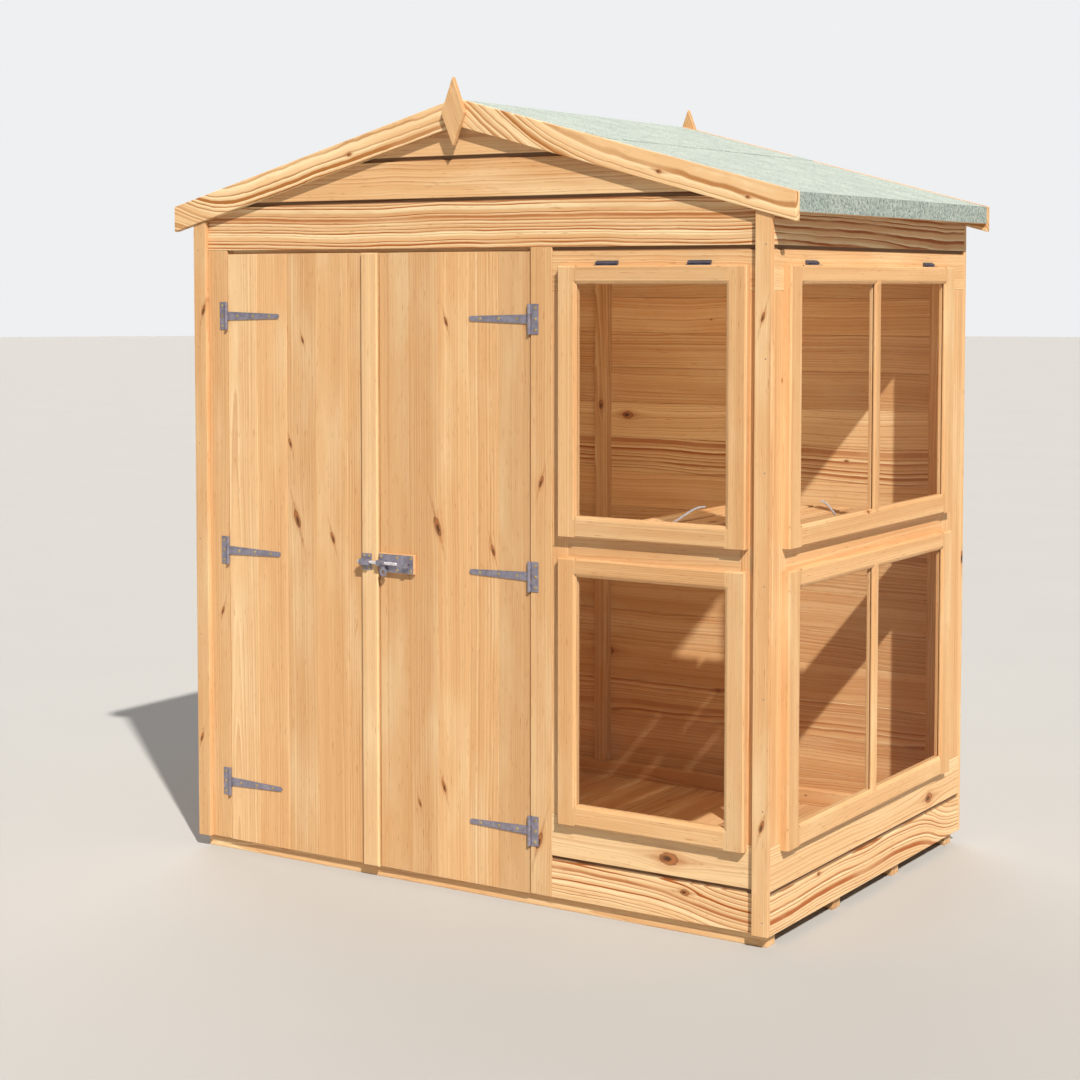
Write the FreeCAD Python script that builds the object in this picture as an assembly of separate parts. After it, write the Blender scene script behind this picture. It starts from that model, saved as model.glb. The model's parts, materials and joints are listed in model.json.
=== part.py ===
import FreeCAD, Part
import math
import os

os.makedirs("parts", exist_ok=True)
V = FreeCAD.Vector

# Walls, all sizes in millimetres
WALL_W = 1800.0
WALL_D = 1190.0
CLAD_T = 12.0
CLAD_BOTTOM = 33.0
FRAME_W = 44.0
FRAME_D = 28.0
CORNER_GAP = 2.0
BUTT_GAP = 0.3
HX = WALL_W / 2
HY = WALL_D / 2
FRONT_BACK_Y = HY - CLAD_T
FRAME_Y = FRONT_BACK_Y - FRAME_D
SIDE_BACK_X = HX - CLAD_T
FRAME_X = SIDE_BACK_X - FRAME_D
END_X = FRAME_X - CORNER_GAP
BACK_STUD_X = 271.0

# Lapped boards
COVER = 108.0
LAP = 8.0
LIP_T = 6.8
LAP_GAP = 0.2
LAP_ROOM = 0.4
COVE_H = 11.5
LAST_BOARD = 20.0

# Doors, their height sets the lines of boards above and beside them
DOOR_LOW = 31.0
DOOR_TOP = 1677.0
HEAD_GAP = 10.0
DOOR_T = 11.0
LEFT_POST = 110.0
DOORWAY_W = 1004.5
RIGHT_POST = 64.5
POST_GAP = 1.5
LEFT_LEAF = 527.0
DOOR_EDGE_GAP = 2.0
MEET_GAP = 3.0
DOOR_BOARDS = 5
BOARD_GAP = 0.3
BOARD_BEVEL = 1.0
TONGUE_W = 5.0
TONGUE_T = 4.0
TONGUE_GAP = 0.2
LEDGE_T = 18.0
LEDGE_H = 72.0
LEDGE_IN = 34.0
LEDGE_END = 12.0
BRACE_W = 90.0
BRACE_IN = 20.0
COVER_STRIP_W = 52.0
COVER_STRIP_T = 10.0
DOOR_STOP = 12.0
LEFT_AXIS = LEFT_POST - HX
RIGHT_AXIS = LEFT_AXIS + DOORWAY_W
POST_RIGHT_X = RIGHT_AXIS + RIGHT_POST
MEET_X = LEFT_AXIS + LEFT_LEAF

# Lines of boards that show on the window walls
HEADER_H = 109.0
GABLE_BOARD = 130.0
TOP_BOARD = 118.0
APRON_1 = CLAD_BOTTOM + COVER
WINDOW_LOW = APRON_1 + COVER
HEADER_TOP = DOOR_TOP + HEAD_GAP
HEADER_LOW = HEADER_TOP - HEADER_H
GABLE_1 = HEADER_TOP + GABLE_BOARD
GABLE_2 = GABLE_1 + COVER
SIDE_WALL_TOP = HEADER_TOP + TOP_BOARD

# Base
BEARER_W = 44.0
BEARER_H = 44.0
BEARER_N = 4
BASE_INSET = 4.0
BASE_SET = 2.0
FLOOR_T = 12.0
FLOOR_N = 16
FLOOR_GAP = 0.4
FLOOR_TOP = BEARER_H + FLOOR_T

# Roof, carried on the side walls
SLOPE_DEG = 15.0
SLOPE = math.tan(math.radians(SLOPE_DEG))
TILT = math.cos(math.radians(SLOPE_DEG))
EAVE_OUT = 65.0
EAVE_GAP = 6.8
ROOF_GAP = 0.5
RIDGE_GAP = 0.2
FELT_T = 2.5
FELT_SET = 1.0
FELT_TURN = 44.5
FELT_STEP = 4.0
DECK_T = 12.0
RIDGE_FELT = 430.0
FELT_LAP = 52.0
RIDGE_BATTEN_X = 2.0
MID_BATTEN_X = 440.0
BARGE_H = 70.0
BARGE_T = 20.0
FINIAL_T = 14.0
FINIAL_UP = 54.0
FINIAL_DOWN = 122.0
FINIAL_WAIST = 38.0
FINIAL_W = 71.0
STRIP_W = 44.0
STRIP_T = 14.0
EAVE_X = HX + EAVE_OUT
RIDGE_Z = SIDE_WALL_TOP + EAVE_GAP + SLOPE * HX + (FELT_SET + FELT_T + DECK_T) / TILT
LOWER_FELT_X = RIDGE_FELT - FELT_LAP

# T-hinges
HINGE_IN = 165.0
HINGE_DOWN = 171.0
AXIS_OUT = 5.0
KNUCKLE_R = 4.5
PIN_R = 2.0
PIN_FIT = 0.05
PLATE_W = 26.0
PLATE_H = 77.0
PLATE_T = 2.0
PLATE_SCREW_X = 17.0
PLATE_SCREW_Z = 28.0
STRAP_L = 186.0
STRAP_ROOT = 24.0
STRAP_TIP = 13.0
STRAP_T = 2.5
STRAP_SCREW_0 = 38.0
STRAP_SCREW_STEP = 57.0
STRAP_SCREWS = 3
KNUCKLE_GAP = 0.5
KNUCKLE_ROOM = 0.7
SCREW_R = 2.0
SCREW_HOLE = 2.3
HEAD_R = 3.8
HEAD_TOP_R = 2.6
HEAD_H = 1.3
LOW_HINGE = DOOR_LOW + HINGE_IN
TOP_HINGE = DOOR_TOP - HINGE_DOWN
HINGE_Z = (LOW_HINGE, (LOW_HINGE + TOP_HINGE) / 2, TOP_HINGE)

# Pad bolt, placed from the line where the doors meet
BOLT_UP = 4.0
ROD_R = 4.5
ROD_FIT = 0.08
ROD_OUT = 9.0
ROD_TIP = 60.0
ROD_TAIL = 48.0
ROD_BEVEL = 1.0
BASE_IN = 6.0
BASE_L = 111.0
BASE_H = 48.0
BASE_T = 2.0
BASE_ROUND = 5.0
BASE_SCREW_IN = 6.5
BASE_SCREW_MID = 59.0
BASE_SCREW_Z = 17.0
PACKER_EDGE = 2.0
GUIDE_W = 12.0
GUIDE_END = 8.0
GUIDE_WALL = 3.0
KEEPER_IN = 19.0
KEEPER_L = 33.0
KEEPER_H = 44.0
KEEPER_T = 1.5
KEEPER_ROOM = 0.6
KEEPER_SCREW_IN = 8.0
KEEPER_SCREW_Z = 16.0
BOSS_GAP = 1.5
BOSS_W = 12.0
BOSS_R = 6.5
EYE_R = 11.0
EYE_HOLE = 5.5
EYE_DROP = 24.0
EYE_T = 4.0
NECK_W = 10.0
SMALL_SCREW = 0.85
BOLT_Z = HINGE_Z[1] + BOLT_UP
ROD_Y = -(HY + COVER_STRIP_T + ROD_OUT)
BASE_X0 = MEET_X + BASE_IN
BASE_X1 = BASE_X0 + BASE_L
ROD_X0 = MEET_X - ROD_TIP
ROD_X1 = BASE_X1 - ROD_TAIL
KEEPER_X1 = MEET_X - KEEPER_IN
KEEPER_X0 = KEEPER_X1 - KEEPER_L
BOSS_X0 = BASE_X0 + GUIDE_W + BOSS_GAP

# Windows: the sash laps over the edges of the hole in the wall
SASH_T = 21.0
RAIL_TOP = 46.0
RAIL_LOW = 53.0
BAR_W = 36.0
SASH_HEAD = 47.0
SASH_FOOT = 17.0
SASH_GAP = 54.0
SASH_LAP = 21.0
SASH_LAP_LOW = 25.0
SASH_LAP_TOP = 27.0
FRONT_STILE = 55.0
FRONT_JAMB = 50.0
FRONT_CORNER = 84.0
SIDE_STILE = 65.0
SIDE_FRONT_JAMB = 71.0
SIDE_REAR_JAMB = 141.0
SILL_FRAME_H = 70.0
GLASS_T = 4.0
REBATE_W = 8.0
LIP_DEPTH = 8.0
CHAMFER = 5.0
GLASS_PLAY = 1.0
BEAD_SET = 0.3
BEAD_GAP = 0.2
UPPER_Z1 = HEADER_TOP - SASH_HEAD
LOWER_Z0 = WINDOW_LOW - SASH_FOOT
SASH_H = (UPPER_Z1 - LOWER_Z0 - SASH_GAP) / 2
UPPER_Z0 = UPPER_Z1 - SASH_H
LOWER_Z1 = LOWER_Z0 + SASH_H
MID_Z0 = LOWER_Z1 - SASH_LAP_LOW
MID_Z1 = UPPER_Z0 + SASH_LAP_LOW
NOTCH_TOP = UPPER_Z1 - SASH_LAP_TOP
FRONT_OPEN = (POST_RIGHT_X + FRONT_JAMB, HX - FRONT_CORNER)
FRONT_SASH = (FRONT_OPEN[0] - SASH_LAP, FRONT_OPEN[1] + SASH_LAP)
SIDE_OPEN = (SIDE_FRONT_JAMB - HY, HY - SIDE_REAR_JAMB)
SIDE_SASH = (SIDE_OPEN[0] - SASH_LAP, SIDE_OPEN[1] + SASH_LAP)

# Window hinges
BUTT_L = 63.0
BUTT_R = 3.5
BUTT_PIN = 1.75
BUTT_OUT = 5.0
BUTT_UP = 5.5
BUTT_PLAY = 0.3
LEAF_T = 1.5
WALL_LEAF_UP = 6.5
SASH_LEAF_0 = 3.0
SASH_LEAF_1 = 17.0
WEB_T = 5.0
FRONT_BUTT_IN = 135.0
SIDE_BUTT_IN = 147.0

# Stays, pivoted on a bracket inside the bottom rail of each upper sash
STAY_L = 125.0
STAY_RISE = 55.0
STAY_H = 8.5
STAY_TIP_H = 3.8
STAY_T = 4.0
STAY_EYE = 4.5
STAY_PIN = 2.0
STAY_UP = 4.0
STAY_IN = 7.0
STAY_PLAY = 0.5
CURL_R = 2.2
LUG_T = 3.0
LUG_W = 10.0
BRACKET_W = 20.0
BRACKET_H = 13.0
BRACKET_T = 2.0
PIN_HEAD_R = 3.2
PIN_HEAD_H = 1.8
PEG_R = 3.0
PEG_H = 5.0
PEG_IN = 26.0
PEG_ALONG = 55.0
FRONT_STAY_END = 103.0
SIDE_STAY_END = 209.0
STAY_Z = MID_Z1 + STAY_UP

# Bench
BENCH_DROP = 3.0
SLAT_T = 18.0
SLAT_W = 100.0
SLAT_GAP = 16.0
SLAT_N = 4
BENCH_WALL = 8.0
BENCH_FRONT = 5.0
BENCH_L = 765.0
SUPPORT_IN = 4.0
LEG_IN = 5.0
BENCH_Z = MID_Z1 - BENCH_DROP
BENCH_X1 = FRAME_X - BENCH_WALL
BENCH_Y0 = BENCH_FRONT - FRAME_Y
BENCH_Y1 = BENCH_Y0 + BENCH_L


def box(x0, x1, y0, y1, z0, z1):
    xs, ys, zs = sorted((x0, x1)), sorted((y0, y1)), sorted((z0, z1))
    return Part.makeBox(xs[1] - xs[0], ys[1] - ys[0], zs[1] - zs[0], V(xs[0], ys[0], zs[0]))


def face(points):
    return Part.Face(Part.makePolygon([V(*p) for p in points] + [V(*points[0])]))


def prism_xz(points, y0, y1):
    return face([(x, y0, z) for x, z in points]).extrude(V(0, y1 - y0, 0))


def prism_yz(points, x0, x1):
    return face([(x0, y, z) for y, z in points]).extrude(V(x1 - x0, 0, 0))


def prism_xy(points, z0, z1):
    return face([(x, y, z0) for x, y in points]).extrude(V(0, 0, z1 - z0))


def rod(radius, start, end):
    way = V(*end) - V(*start)
    return Part.makeCylinder(radius, way.Length, V(*start), way)


def save(name, solids):
    kept = [s for shape in solids for s in shape.Solids]
    shape = kept[0] if len(kept) == 1 else Part.makeCompound(kept)
    shape.exportStep("parts/" + name + ".step")


def deck_z(x):
    return RIDGE_Z - (FELT_SET + FELT_T) / TILT - SLOPE * abs(x)


def under_z(x):
    return deck_z(x) - DECK_T / TILT


def barge_low(x):
    return RIDGE_Z - SLOPE * abs(x) - BARGE_H


# One lapped board: depth behind its face, then height
def lap_profile(z0, z1, tongue, rebate):
    pts = [(0.0, z0)]
    if tongue:
        deep = LIP_T + LAP_GAP
        pts += [(0.0, z1 - COVE_H), (deep * 0.7, z1 - COVE_H * 0.93), (deep * 0.93, z1 - COVE_H * 0.72)]
        pts += [(deep, z1 - COVE_H * 0.4), (deep, z1 + LAP), (CLAD_T, z1 + LAP)]
    else:
        pts += [(0.0, z1), (CLAD_T, z1)]
    if rebate:
        pts += [(CLAD_T, z0 + LAP + LAP_ROOM), (LIP_T, z0 + LAP + LAP_ROOM), (LIP_T, z0)]
    else:
        pts += [(CLAD_T, z0)]
    return pts


def front_board(x0, x1, z0, z1, tongue, rebate, side=-1):
    return prism_yz([(side * (HY - d), z) for d, z in lap_profile(z0, z1, tongue, rebate)], x0, x1)


def side_board(y0, y1, z0, z1, tongue, rebate, side=1):
    return prism_xz([(side * (HX - d), z) for d, z in lap_profile(z0, z1, tongue, rebate)], y0, y1)


def gable_outline(y0, y1):
    edge, gap = SIDE_BACK_X, ROOF_GAP
    pts = [(-edge, 0.0), (edge, 0.0), (edge, under_z(edge) - gap), (0.0, under_z(0) - gap)]
    return prism_xz(pts + [(-edge, under_z(edge) - gap)], y0, y1)


def base():
    half_x = SIDE_BACK_X - BASE_INSET
    half_y = FRONT_BACK_Y - BASE_SET
    step = (2 * half_y - BEARER_W) / (BEARER_N - 1)
    bearers = []
    for i in range(BEARER_N):
        y = -half_y + i * step
        bearers.append(box(-half_x, half_x, y, y + BEARER_W, 0, BEARER_H))
    save("floor_bearers", bearers)
    pitch = 2 * half_x / FLOOR_N
    low = BEARER_H + (FLOOR_T - TONGUE_T) / 2
    high = low + TONGUE_T
    boards = []
    for i in range(FLOOR_N):
        x0, x1 = -half_x + i * pitch + FLOOR_GAP, -half_x + (i + 1) * pitch
        board = box(x0, x1, -half_y, half_y, BEARER_H, FLOOR_TOP)
        if i < FLOOR_N - 1:
            tongue = box(x1 - TONGUE_GAP, x1 + TONGUE_W, -half_y, half_y, low, high)
            board = board.fuse(tongue).removeSplitter()
        if i > 0:
            groove = TONGUE_W + TONGUE_GAP
            low_g, high_g = low - TONGUE_GAP, high + TONGUE_GAP
            board = board.cut(box(x0 - 1, x0 + groove, -half_y, half_y, low_g, high_g))
        boards.append(board)
    save("floor_boards", boards)


def front_wall():
    edge = SIDE_BACK_X
    outline = gable_outline(-HY - 1, -FRONT_BACK_Y + 1)
    boards = [
        front_board(-edge, edge, HEADER_TOP, GABLE_1, True, True),
        front_board(-edge, edge, GABLE_1, GABLE_2, True, True),
        front_board(-edge, edge, GABLE_2, RIDGE_Z, False, True),
        front_board(POST_RIGHT_X + BUTT_GAP, edge, HEADER_LOW, HEADER_TOP, True, False),
        front_board(POST_RIGHT_X + BUTT_GAP, edge, CLAD_BOTTOM, APRON_1, True, False),
        front_board(POST_RIGHT_X + BUTT_GAP, edge, APRON_1, WINDOW_LOW, False, True),
    ]
    notch = box(FRONT_OPEN[0], FRONT_OPEN[1], -HY - 1, -FRONT_BACK_Y + 1, HEADER_LOW - 1, NOTCH_TOP)
    boards[3] = boards[3].cut(notch)
    save("front_cladding", [b.common(outline) for b in boards])
    face_y, back_y = -HY, -FRONT_BACK_Y
    save("left_door_post", [box(-edge, LEFT_AXIS, face_y, back_y, CLAD_BOTTOM, HEADER_TOP - BUTT_GAP)])
    post_x = RIGHT_AXIS + POST_GAP
    save("right_door_post", [box(post_x, POST_RIGHT_X, face_y, back_y, CLAD_BOTTOM, HEADER_TOP - BUTT_GAP)])
    open0, open1 = FRONT_OPEN
    save("front_window_surround", [
        box(POST_RIGHT_X + BUTT_GAP, open0, face_y, back_y, WINDOW_LOW + BUTT_GAP, HEADER_LOW - BUTT_GAP),
        box(open1, edge, face_y, back_y, WINDOW_LOW + BUTT_GAP, HEADER_LOW - BUTT_GAP),
        box(open0 + BUTT_GAP, open1 - BUTT_GAP, face_y, back_y, MID_Z0, MID_Z1),
    ])
    y0, y1 = -FRONT_BACK_Y, -FRAME_Y
    left_in = LEFT_AXIS + DOOR_EDGE_GAP + DOOR_STOP
    right_in = RIGHT_AXIS - DOOR_EDGE_GAP - DOOR_STOP
    stud_top = under_z(END_X) - FRAME_W / TILT - CORNER_GAP
    head_z = DOOR_TOP - DOOR_STOP
    members = [
        box(-END_X, left_in, y0, y1, FLOOR_TOP, stud_top),
        box(right_in, right_in + FRAME_W, y0, y1, FLOOR_TOP, stud_top),
        box(open0 - FRAME_W, open0, y0, y1, FLOOR_TOP, stud_top),
        box(open1, END_X, y0, y1, FLOOR_TOP, stud_top),
        box(left_in, right_in, y0, y1, head_z, head_z + FRAME_W),
        box(open0, open1, y0, y1, FLOOR_TOP, FLOOR_TOP + FRAME_W),
        box(open0, open1, y0, y1, WINDOW_LOW - FRAME_W, WINDOW_LOW),
        box(open0, open1, y0, y1, MID_Z1 - SILL_FRAME_H, MID_Z1),
        box(open0, open1, y0, y1, NOTCH_TOP, NOTCH_TOP + FRAME_W),
    ]
    save("front_wall_frame", members + rafters(y0, y1))


def rafters(y0, y1):
    drop = FRAME_W / TILT
    top = RIDGE_GAP
    pts = [(top, under_z(top) - ROOF_GAP), (END_X, under_z(END_X) - ROOF_GAP)]
    pts += [(END_X, under_z(END_X) - drop), (top, under_z(top) - drop)]
    return [prism_xz(pts, y0, y1), prism_xz([(-x, z) for x, z in pts], y0, y1)]


def right_wall():
    y0, y1 = -HY, HY
    boards = [
        side_board(y0, y1, CLAD_BOTTOM, APRON_1, True, False),
        side_board(y0, y1, APRON_1, WINDOW_LOW, False, True),
        side_board(y0, y1, HEADER_LOW, HEADER_TOP, True, False),
        side_board(y0, y1, HEADER_TOP, SIDE_WALL_TOP, False, True),
    ]
    open0, open1 = SIDE_OPEN
    boards[2] = boards[2].cut(box(SIDE_BACK_X - 1, HX + 1, open0, open1, HEADER_LOW - 1, NOTCH_TOP))
    save("right_cladding", boards)
    x0, x1 = SIDE_BACK_X, HX
    save("right_window_surround", [
        box(x0, x1, y0, open0, WINDOW_LOW + BUTT_GAP, HEADER_LOW - BUTT_GAP),
        box(x0, x1, open1, y1, WINDOW_LOW + BUTT_GAP, HEADER_LOW - BUTT_GAP),
        box(x0, x1, open0 + BUTT_GAP, open1 - BUTT_GAP, MID_Z0, MID_Z1),
    ])
    x0, x1 = FRAME_X, SIDE_BACK_X
    end = FRONT_BACK_Y
    top = SIDE_WALL_TOP - FRAME_W
    save("right_wall_frame", [
        box(x0, x1, -end, open0, FLOOR_TOP, top),
        box(x0, x1, open1, open1 + FRAME_W, FLOOR_TOP, top),
        box(x0, x1, end - FRAME_W, end, FLOOR_TOP, top),
        box(x0, x1, -end, end, top, SIDE_WALL_TOP),
        box(x0, x1, open0, open1, FLOOR_TOP, FLOOR_TOP + FRAME_W),
        box(x0, x1, open0, open1, WINDOW_LOW - FRAME_W, WINDOW_LOW),
        box(x0, x1, open0, open1, MID_Z1 - SILL_FRAME_H, MID_Z1),
        box(x0, x1, open0, open1, NOTCH_TOP, NOTCH_TOP + FRAME_W),
    ])


def left_wall():
    boards = []
    z = CLAD_BOTTOM
    while z < SIDE_WALL_TOP - LAST_BOARD:
        last = z + COVER >= SIDE_WALL_TOP - LAST_BOARD
        top = SIDE_WALL_TOP if last else z + COVER
        boards.append(side_board(-HY, HY, z, top, not last, z > CLAD_BOTTOM, -1))
        z += COVER
    save("left_cladding", boards)
    x0, x1 = -SIDE_BACK_X, -FRAME_X
    end = FRONT_BACK_Y
    low, top = FLOOR_TOP + FRAME_W, SIDE_WALL_TOP - FRAME_W
    members = [box(x0, x1, -end, end, FLOOR_TOP, low), box(x0, x1, -end, end, top, SIDE_WALL_TOP)]
    for y in (-end, -FRAME_W / 2, end - FRAME_W):
        members.append(box(x0, x1, y, y + FRAME_W, low, top))
    save("left_wall_frame", members)


def back_wall():
    outline = gable_outline(FRONT_BACK_Y - 1, HY + 1)
    boards = []
    z = CLAD_BOTTOM
    while z < under_z(0) - LAST_BOARD:
        last = z + COVER >= under_z(0) - LAST_BOARD
        top = RIDGE_Z if last else z + COVER
        board = front_board(-SIDE_BACK_X, SIDE_BACK_X, z, top, not last, z > CLAD_BOTTOM, 1)
        boards.append(board.common(outline))
        z += COVER
    save("back_cladding", boards)
    y0, y1 = FRAME_Y, FRONT_BACK_Y
    low = FLOOR_TOP + FRAME_W
    members = [box(-END_X, END_X, y0, y1, FLOOR_TOP, low)]
    mid = BACK_STUD_X
    end_top = under_z(END_X) - FRAME_W / TILT - CORNER_GAP
    mid_top = under_z(mid + FRAME_W / 2) - FRAME_W / TILT - ROOF_GAP
    for side in (-1, 1):
        members.append(box(side * END_X, side * (END_X - FRAME_W), y0, y1, low, end_top))
        members.append(box(side * mid - FRAME_W / 2, side * mid + FRAME_W / 2, y0, y1, low, mid_top))
    save("back_wall_frame", members + rafters(y0, y1))


def corner_strips():
    strips = []
    for end in (-1, 1):
        for side in (-1, 1):
            inner, outer = HX - STRIP_W, HX
            pts = [(inner, CLAD_BOTTOM), (outer, CLAD_BOTTOM)]
            pts += [(outer, barge_low(outer) - ROOF_GAP), (inner, barge_low(inner) - ROOF_GAP)]
            strips.append(prism_xz([(side * x, z) for x, z in pts], end * HY, end * (HY + STRIP_T)))
    save("corner_strips", strips)


def sloped(x0, x1, top, bottom, y0, y1, side):
    pts = [(x0, top(x0)), (x1, top(x1)), (x1, bottom(x1)), (x0, bottom(x0))]
    return prism_xz([(side * x, z) for x, z in pts], y0, y1)


def roof():
    deck_end = EAVE_X - FELT_T - ROOF_GAP
    felt_low = deck_z(deck_end) - FELT_TURN
    for name, side in (("left_roof_panel", -1), ("right_roof_panel", 1)):
        save(name, [sloped(RIDGE_GAP, deck_end, deck_z, under_z, -HY, HY, side)])
    battens = []
    for side in (-1, 1):
        pts = [(deck_end - FRAME_D, felt_low), (deck_end, felt_low)]
        pts += [(deck_end, under_z(deck_end)), (deck_end - FRAME_D, under_z(deck_end - FRAME_D))]
        battens.append(prism_xz([(side * x, z) for x, z in pts], -HY, HY))
        for x0 in (RIDGE_BATTEN_X, MID_BATTEN_X):
            low = FRAME_D / TILT
            x1 = x0 + FRAME_W
            battens.append(sloped(x0, x1, under_z, lambda x: under_z(x) - low, -FRAME_Y, FRAME_Y, side))
    save("roof_battens", battens)
    thick = FELT_T / TILT
    for name, side in (("left_felt", -1), ("right_felt", 1)):
        x0, x1, x2 = LOWER_FELT_X, deck_end, deck_end + FELT_T
        pts = [(x0, deck_z(x0)), (x0, deck_z(x0) + thick), (x2, deck_z(x2) + thick)]
        pts += [(x2, felt_low), (x1, felt_low), (x1, deck_z(x1))]
        save(name, [prism_xz([(side * x, z) for x, z in pts], -HY, HY)])
    jog = LOWER_FELT_X - FELT_STEP
    half = [(0.0, deck_z(0) + thick), (jog, deck_z(jog) + thick)]
    half += [(LOWER_FELT_X, deck_z(LOWER_FELT_X) + 2 * thick), (RIDGE_FELT, deck_z(RIDGE_FELT) + 2 * thick)]
    tuck = LOWER_FELT_X - ROOF_GAP
    low = [(RIDGE_FELT, deck_z(RIDGE_FELT) + thick), (tuck, deck_z(tuck) + thick)]
    low += [(tuck, deck_z(tuck)), (0.0, deck_z(0))]
    right = half[1:] + low[:-1]
    left = [(-x, z) for x, z in reversed(right)]
    save("ridge_felt", [prism_xz([half[0]] + right + [low[-1]] + left, -HY, HY)])
    for name, end in (("front_bargeboards", -1), ("rear_bargeboards", 1)):
        boards = []
        for side in (-1, 1):
            top = lambda x: RIDGE_Z - SLOPE * x
            boards.append(sloped(RIDGE_GAP, EAVE_X, top, barge_low, end * HY, end * (HY + BARGE_T), side))
        save(name, boards)
    waist = RIDGE_Z - FINIAL_WAIST
    diamond = [(0, RIDGE_Z + FINIAL_UP), (FINIAL_W / 2, waist)]
    diamond += [(0, RIDGE_Z - FINIAL_DOWN), (-FINIAL_W / 2, waist)]
    finials = []
    for end in (-1, 1):
        y = end * (HY + BARGE_T)
        finials.append(prism_xz(diamond, y, y + end * FINIAL_T))
    save("finials", finials)


# Doors: vertical tongued boards with a small bevel along each face edge
def door_boards(x0, x1):
    pitch = (x1 - x0) / DOOR_BOARDS
    bevel = BOARD_BEVEL
    f, b = -HY, -HY + DOOR_T
    t0 = f + (DOOR_T - TONGUE_T) / 2
    t1 = t0 + TONGUE_T
    deep = TONGUE_W + TONGUE_GAP
    solids = []
    for i in range(DOOR_BOARDS):
        a, c = x0 + i * pitch, x0 + (i + 1) * pitch - (BOARD_GAP if i < DOOR_BOARDS - 1 else 0)
        pts = [(a + bevel, f), (c - bevel, f), (c, f + bevel)]
        if i < DOOR_BOARDS - 1:
            pts += [(c, t0), (c + TONGUE_W, t0), (c + TONGUE_W, t1), (c, t1)]
        pts += [(c, b), (a, b)]
        if i > 0:
            pts += [(a, t1 + TONGUE_GAP), (a + deep, t1 + TONGUE_GAP)]
            pts += [(a + deep, t0 - TONGUE_GAP), (a, t0 - TONGUE_GAP)]
        pts += [(a, f + bevel)]
        solids.append(prism_xy(pts, DOOR_LOW, DOOR_TOP))
    return solids


def door_ledges(hinge_x, free_x):
    way = 1 if free_x > hinge_x else -1
    x0, x1 = hinge_x + way * LEDGE_IN, free_x - way * LEDGE_END
    y0, y1 = -HY + DOOR_T, -HY + DOOR_T + LEDGE_T
    ledges = [box(x0, x1, y0, y1, z - LEDGE_H / 2, z + LEDGE_H / 2) for z in HINGE_Z]
    foot, run = BRACE_W, BRACE_IN
    for low, high in zip(HINGE_Z, HINGE_Z[1:]):
        za, zb = low + LEDGE_H / 2 + BUTT_GAP, high - LEDGE_H / 2 - BUTT_GAP
        xa, xb = x0 + way * run, x1 - way * run
        pts = [(xa, za), (xa + way * foot, za), (xb, zb), (xb - way * foot, zb)]
        ledges.append(prism_xz(pts, y0, y1))
    return ledges


def left_span():
    return LEFT_AXIS + DOOR_EDGE_GAP, MEET_X - MEET_GAP / 2


def right_span():
    return MEET_X + MEET_GAP / 2, RIGHT_AXIS - DOOR_EDGE_GAP


def doors():
    a, b = left_span()
    save("left_door_boards", door_boards(a, b))
    save("left_door_ledges", door_ledges(a, b))
    strip = box(b - COVER_STRIP_W, b, -HY - COVER_STRIP_T, -HY, DOOR_LOW, DOOR_TOP)
    save("door_cover_strip", [strip])
    a, b = right_span()
    save("right_door_boards", door_boards(a, b))
    save("right_door_ledges", door_ledges(b, a))
    y0, y1 = -HY - COVER_STRIP_T, -HY
    half = BASE_H / 2 + PACKER_EDGE
    x0, x1 = BASE_X0 - PACKER_EDGE, BASE_X1 + PACKER_EDGE
    save("bolt_packer", [box(x0, x1, y0, y1, BOLT_Z - half, BOLT_Z + half)])


# A screw through a plate, its head on the side of the way out
def screw(x, y, z, way, plate, scale=1.0):
    out = V(*way)
    shank = Part.makeCylinder(SCREW_R * scale, plate, V(x, y, z), out)
    seat = V(x, y, z) + out * plate
    head = Part.makeCone(HEAD_R * scale, HEAD_TOP_R * scale, HEAD_H * scale, seat, out)
    return shank.fuse(head).removeSplitter()


def plate_holes(axis, way, z):
    return [(axis - way * PLATE_SCREW_X, z + dz * PLATE_SCREW_Z) for dz in (-1, 0, 1)]


def strap_holes(axis, way, z):
    return [(axis + way * (STRAP_SCREW_0 + i * STRAP_SCREW_STEP), z) for i in range(STRAP_SCREWS)]


def tee_plate(axis, way, z):
    y = -HY - AXIS_OUT
    half, inner = PLATE_H / 2, STRAP_ROOT / 2 + KNUCKLE_GAP
    shape = box(axis - way * PLATE_W, axis, -HY - PLATE_T, -HY, z - half, z + half)
    room = KNUCKLE_R + KNUCKLE_ROOM
    shape = shape.cut(box(axis - way * room, axis + way, -HY - 2 * AXIS_OUT, -HY + 1, z - inner, z + inner))
    for z0, z1 in ((z - half, z - inner), (z + inner, z + half)):
        shape = shape.fuse(rod(KNUCKLE_R, (axis, y, z0), (axis, y, z1)))
    shape = shape.cut(rod(PIN_R + PIN_FIT, (axis, y, z - half - 1), (axis, y, z + half + 1)))
    for x, zz in plate_holes(axis, way, z):
        shape = shape.cut(rod(SCREW_HOLE, (x, -HY - 2 * AXIS_OUT, zz), (x, -HY + 1, zz)))
    return shape.removeSplitter()


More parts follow.
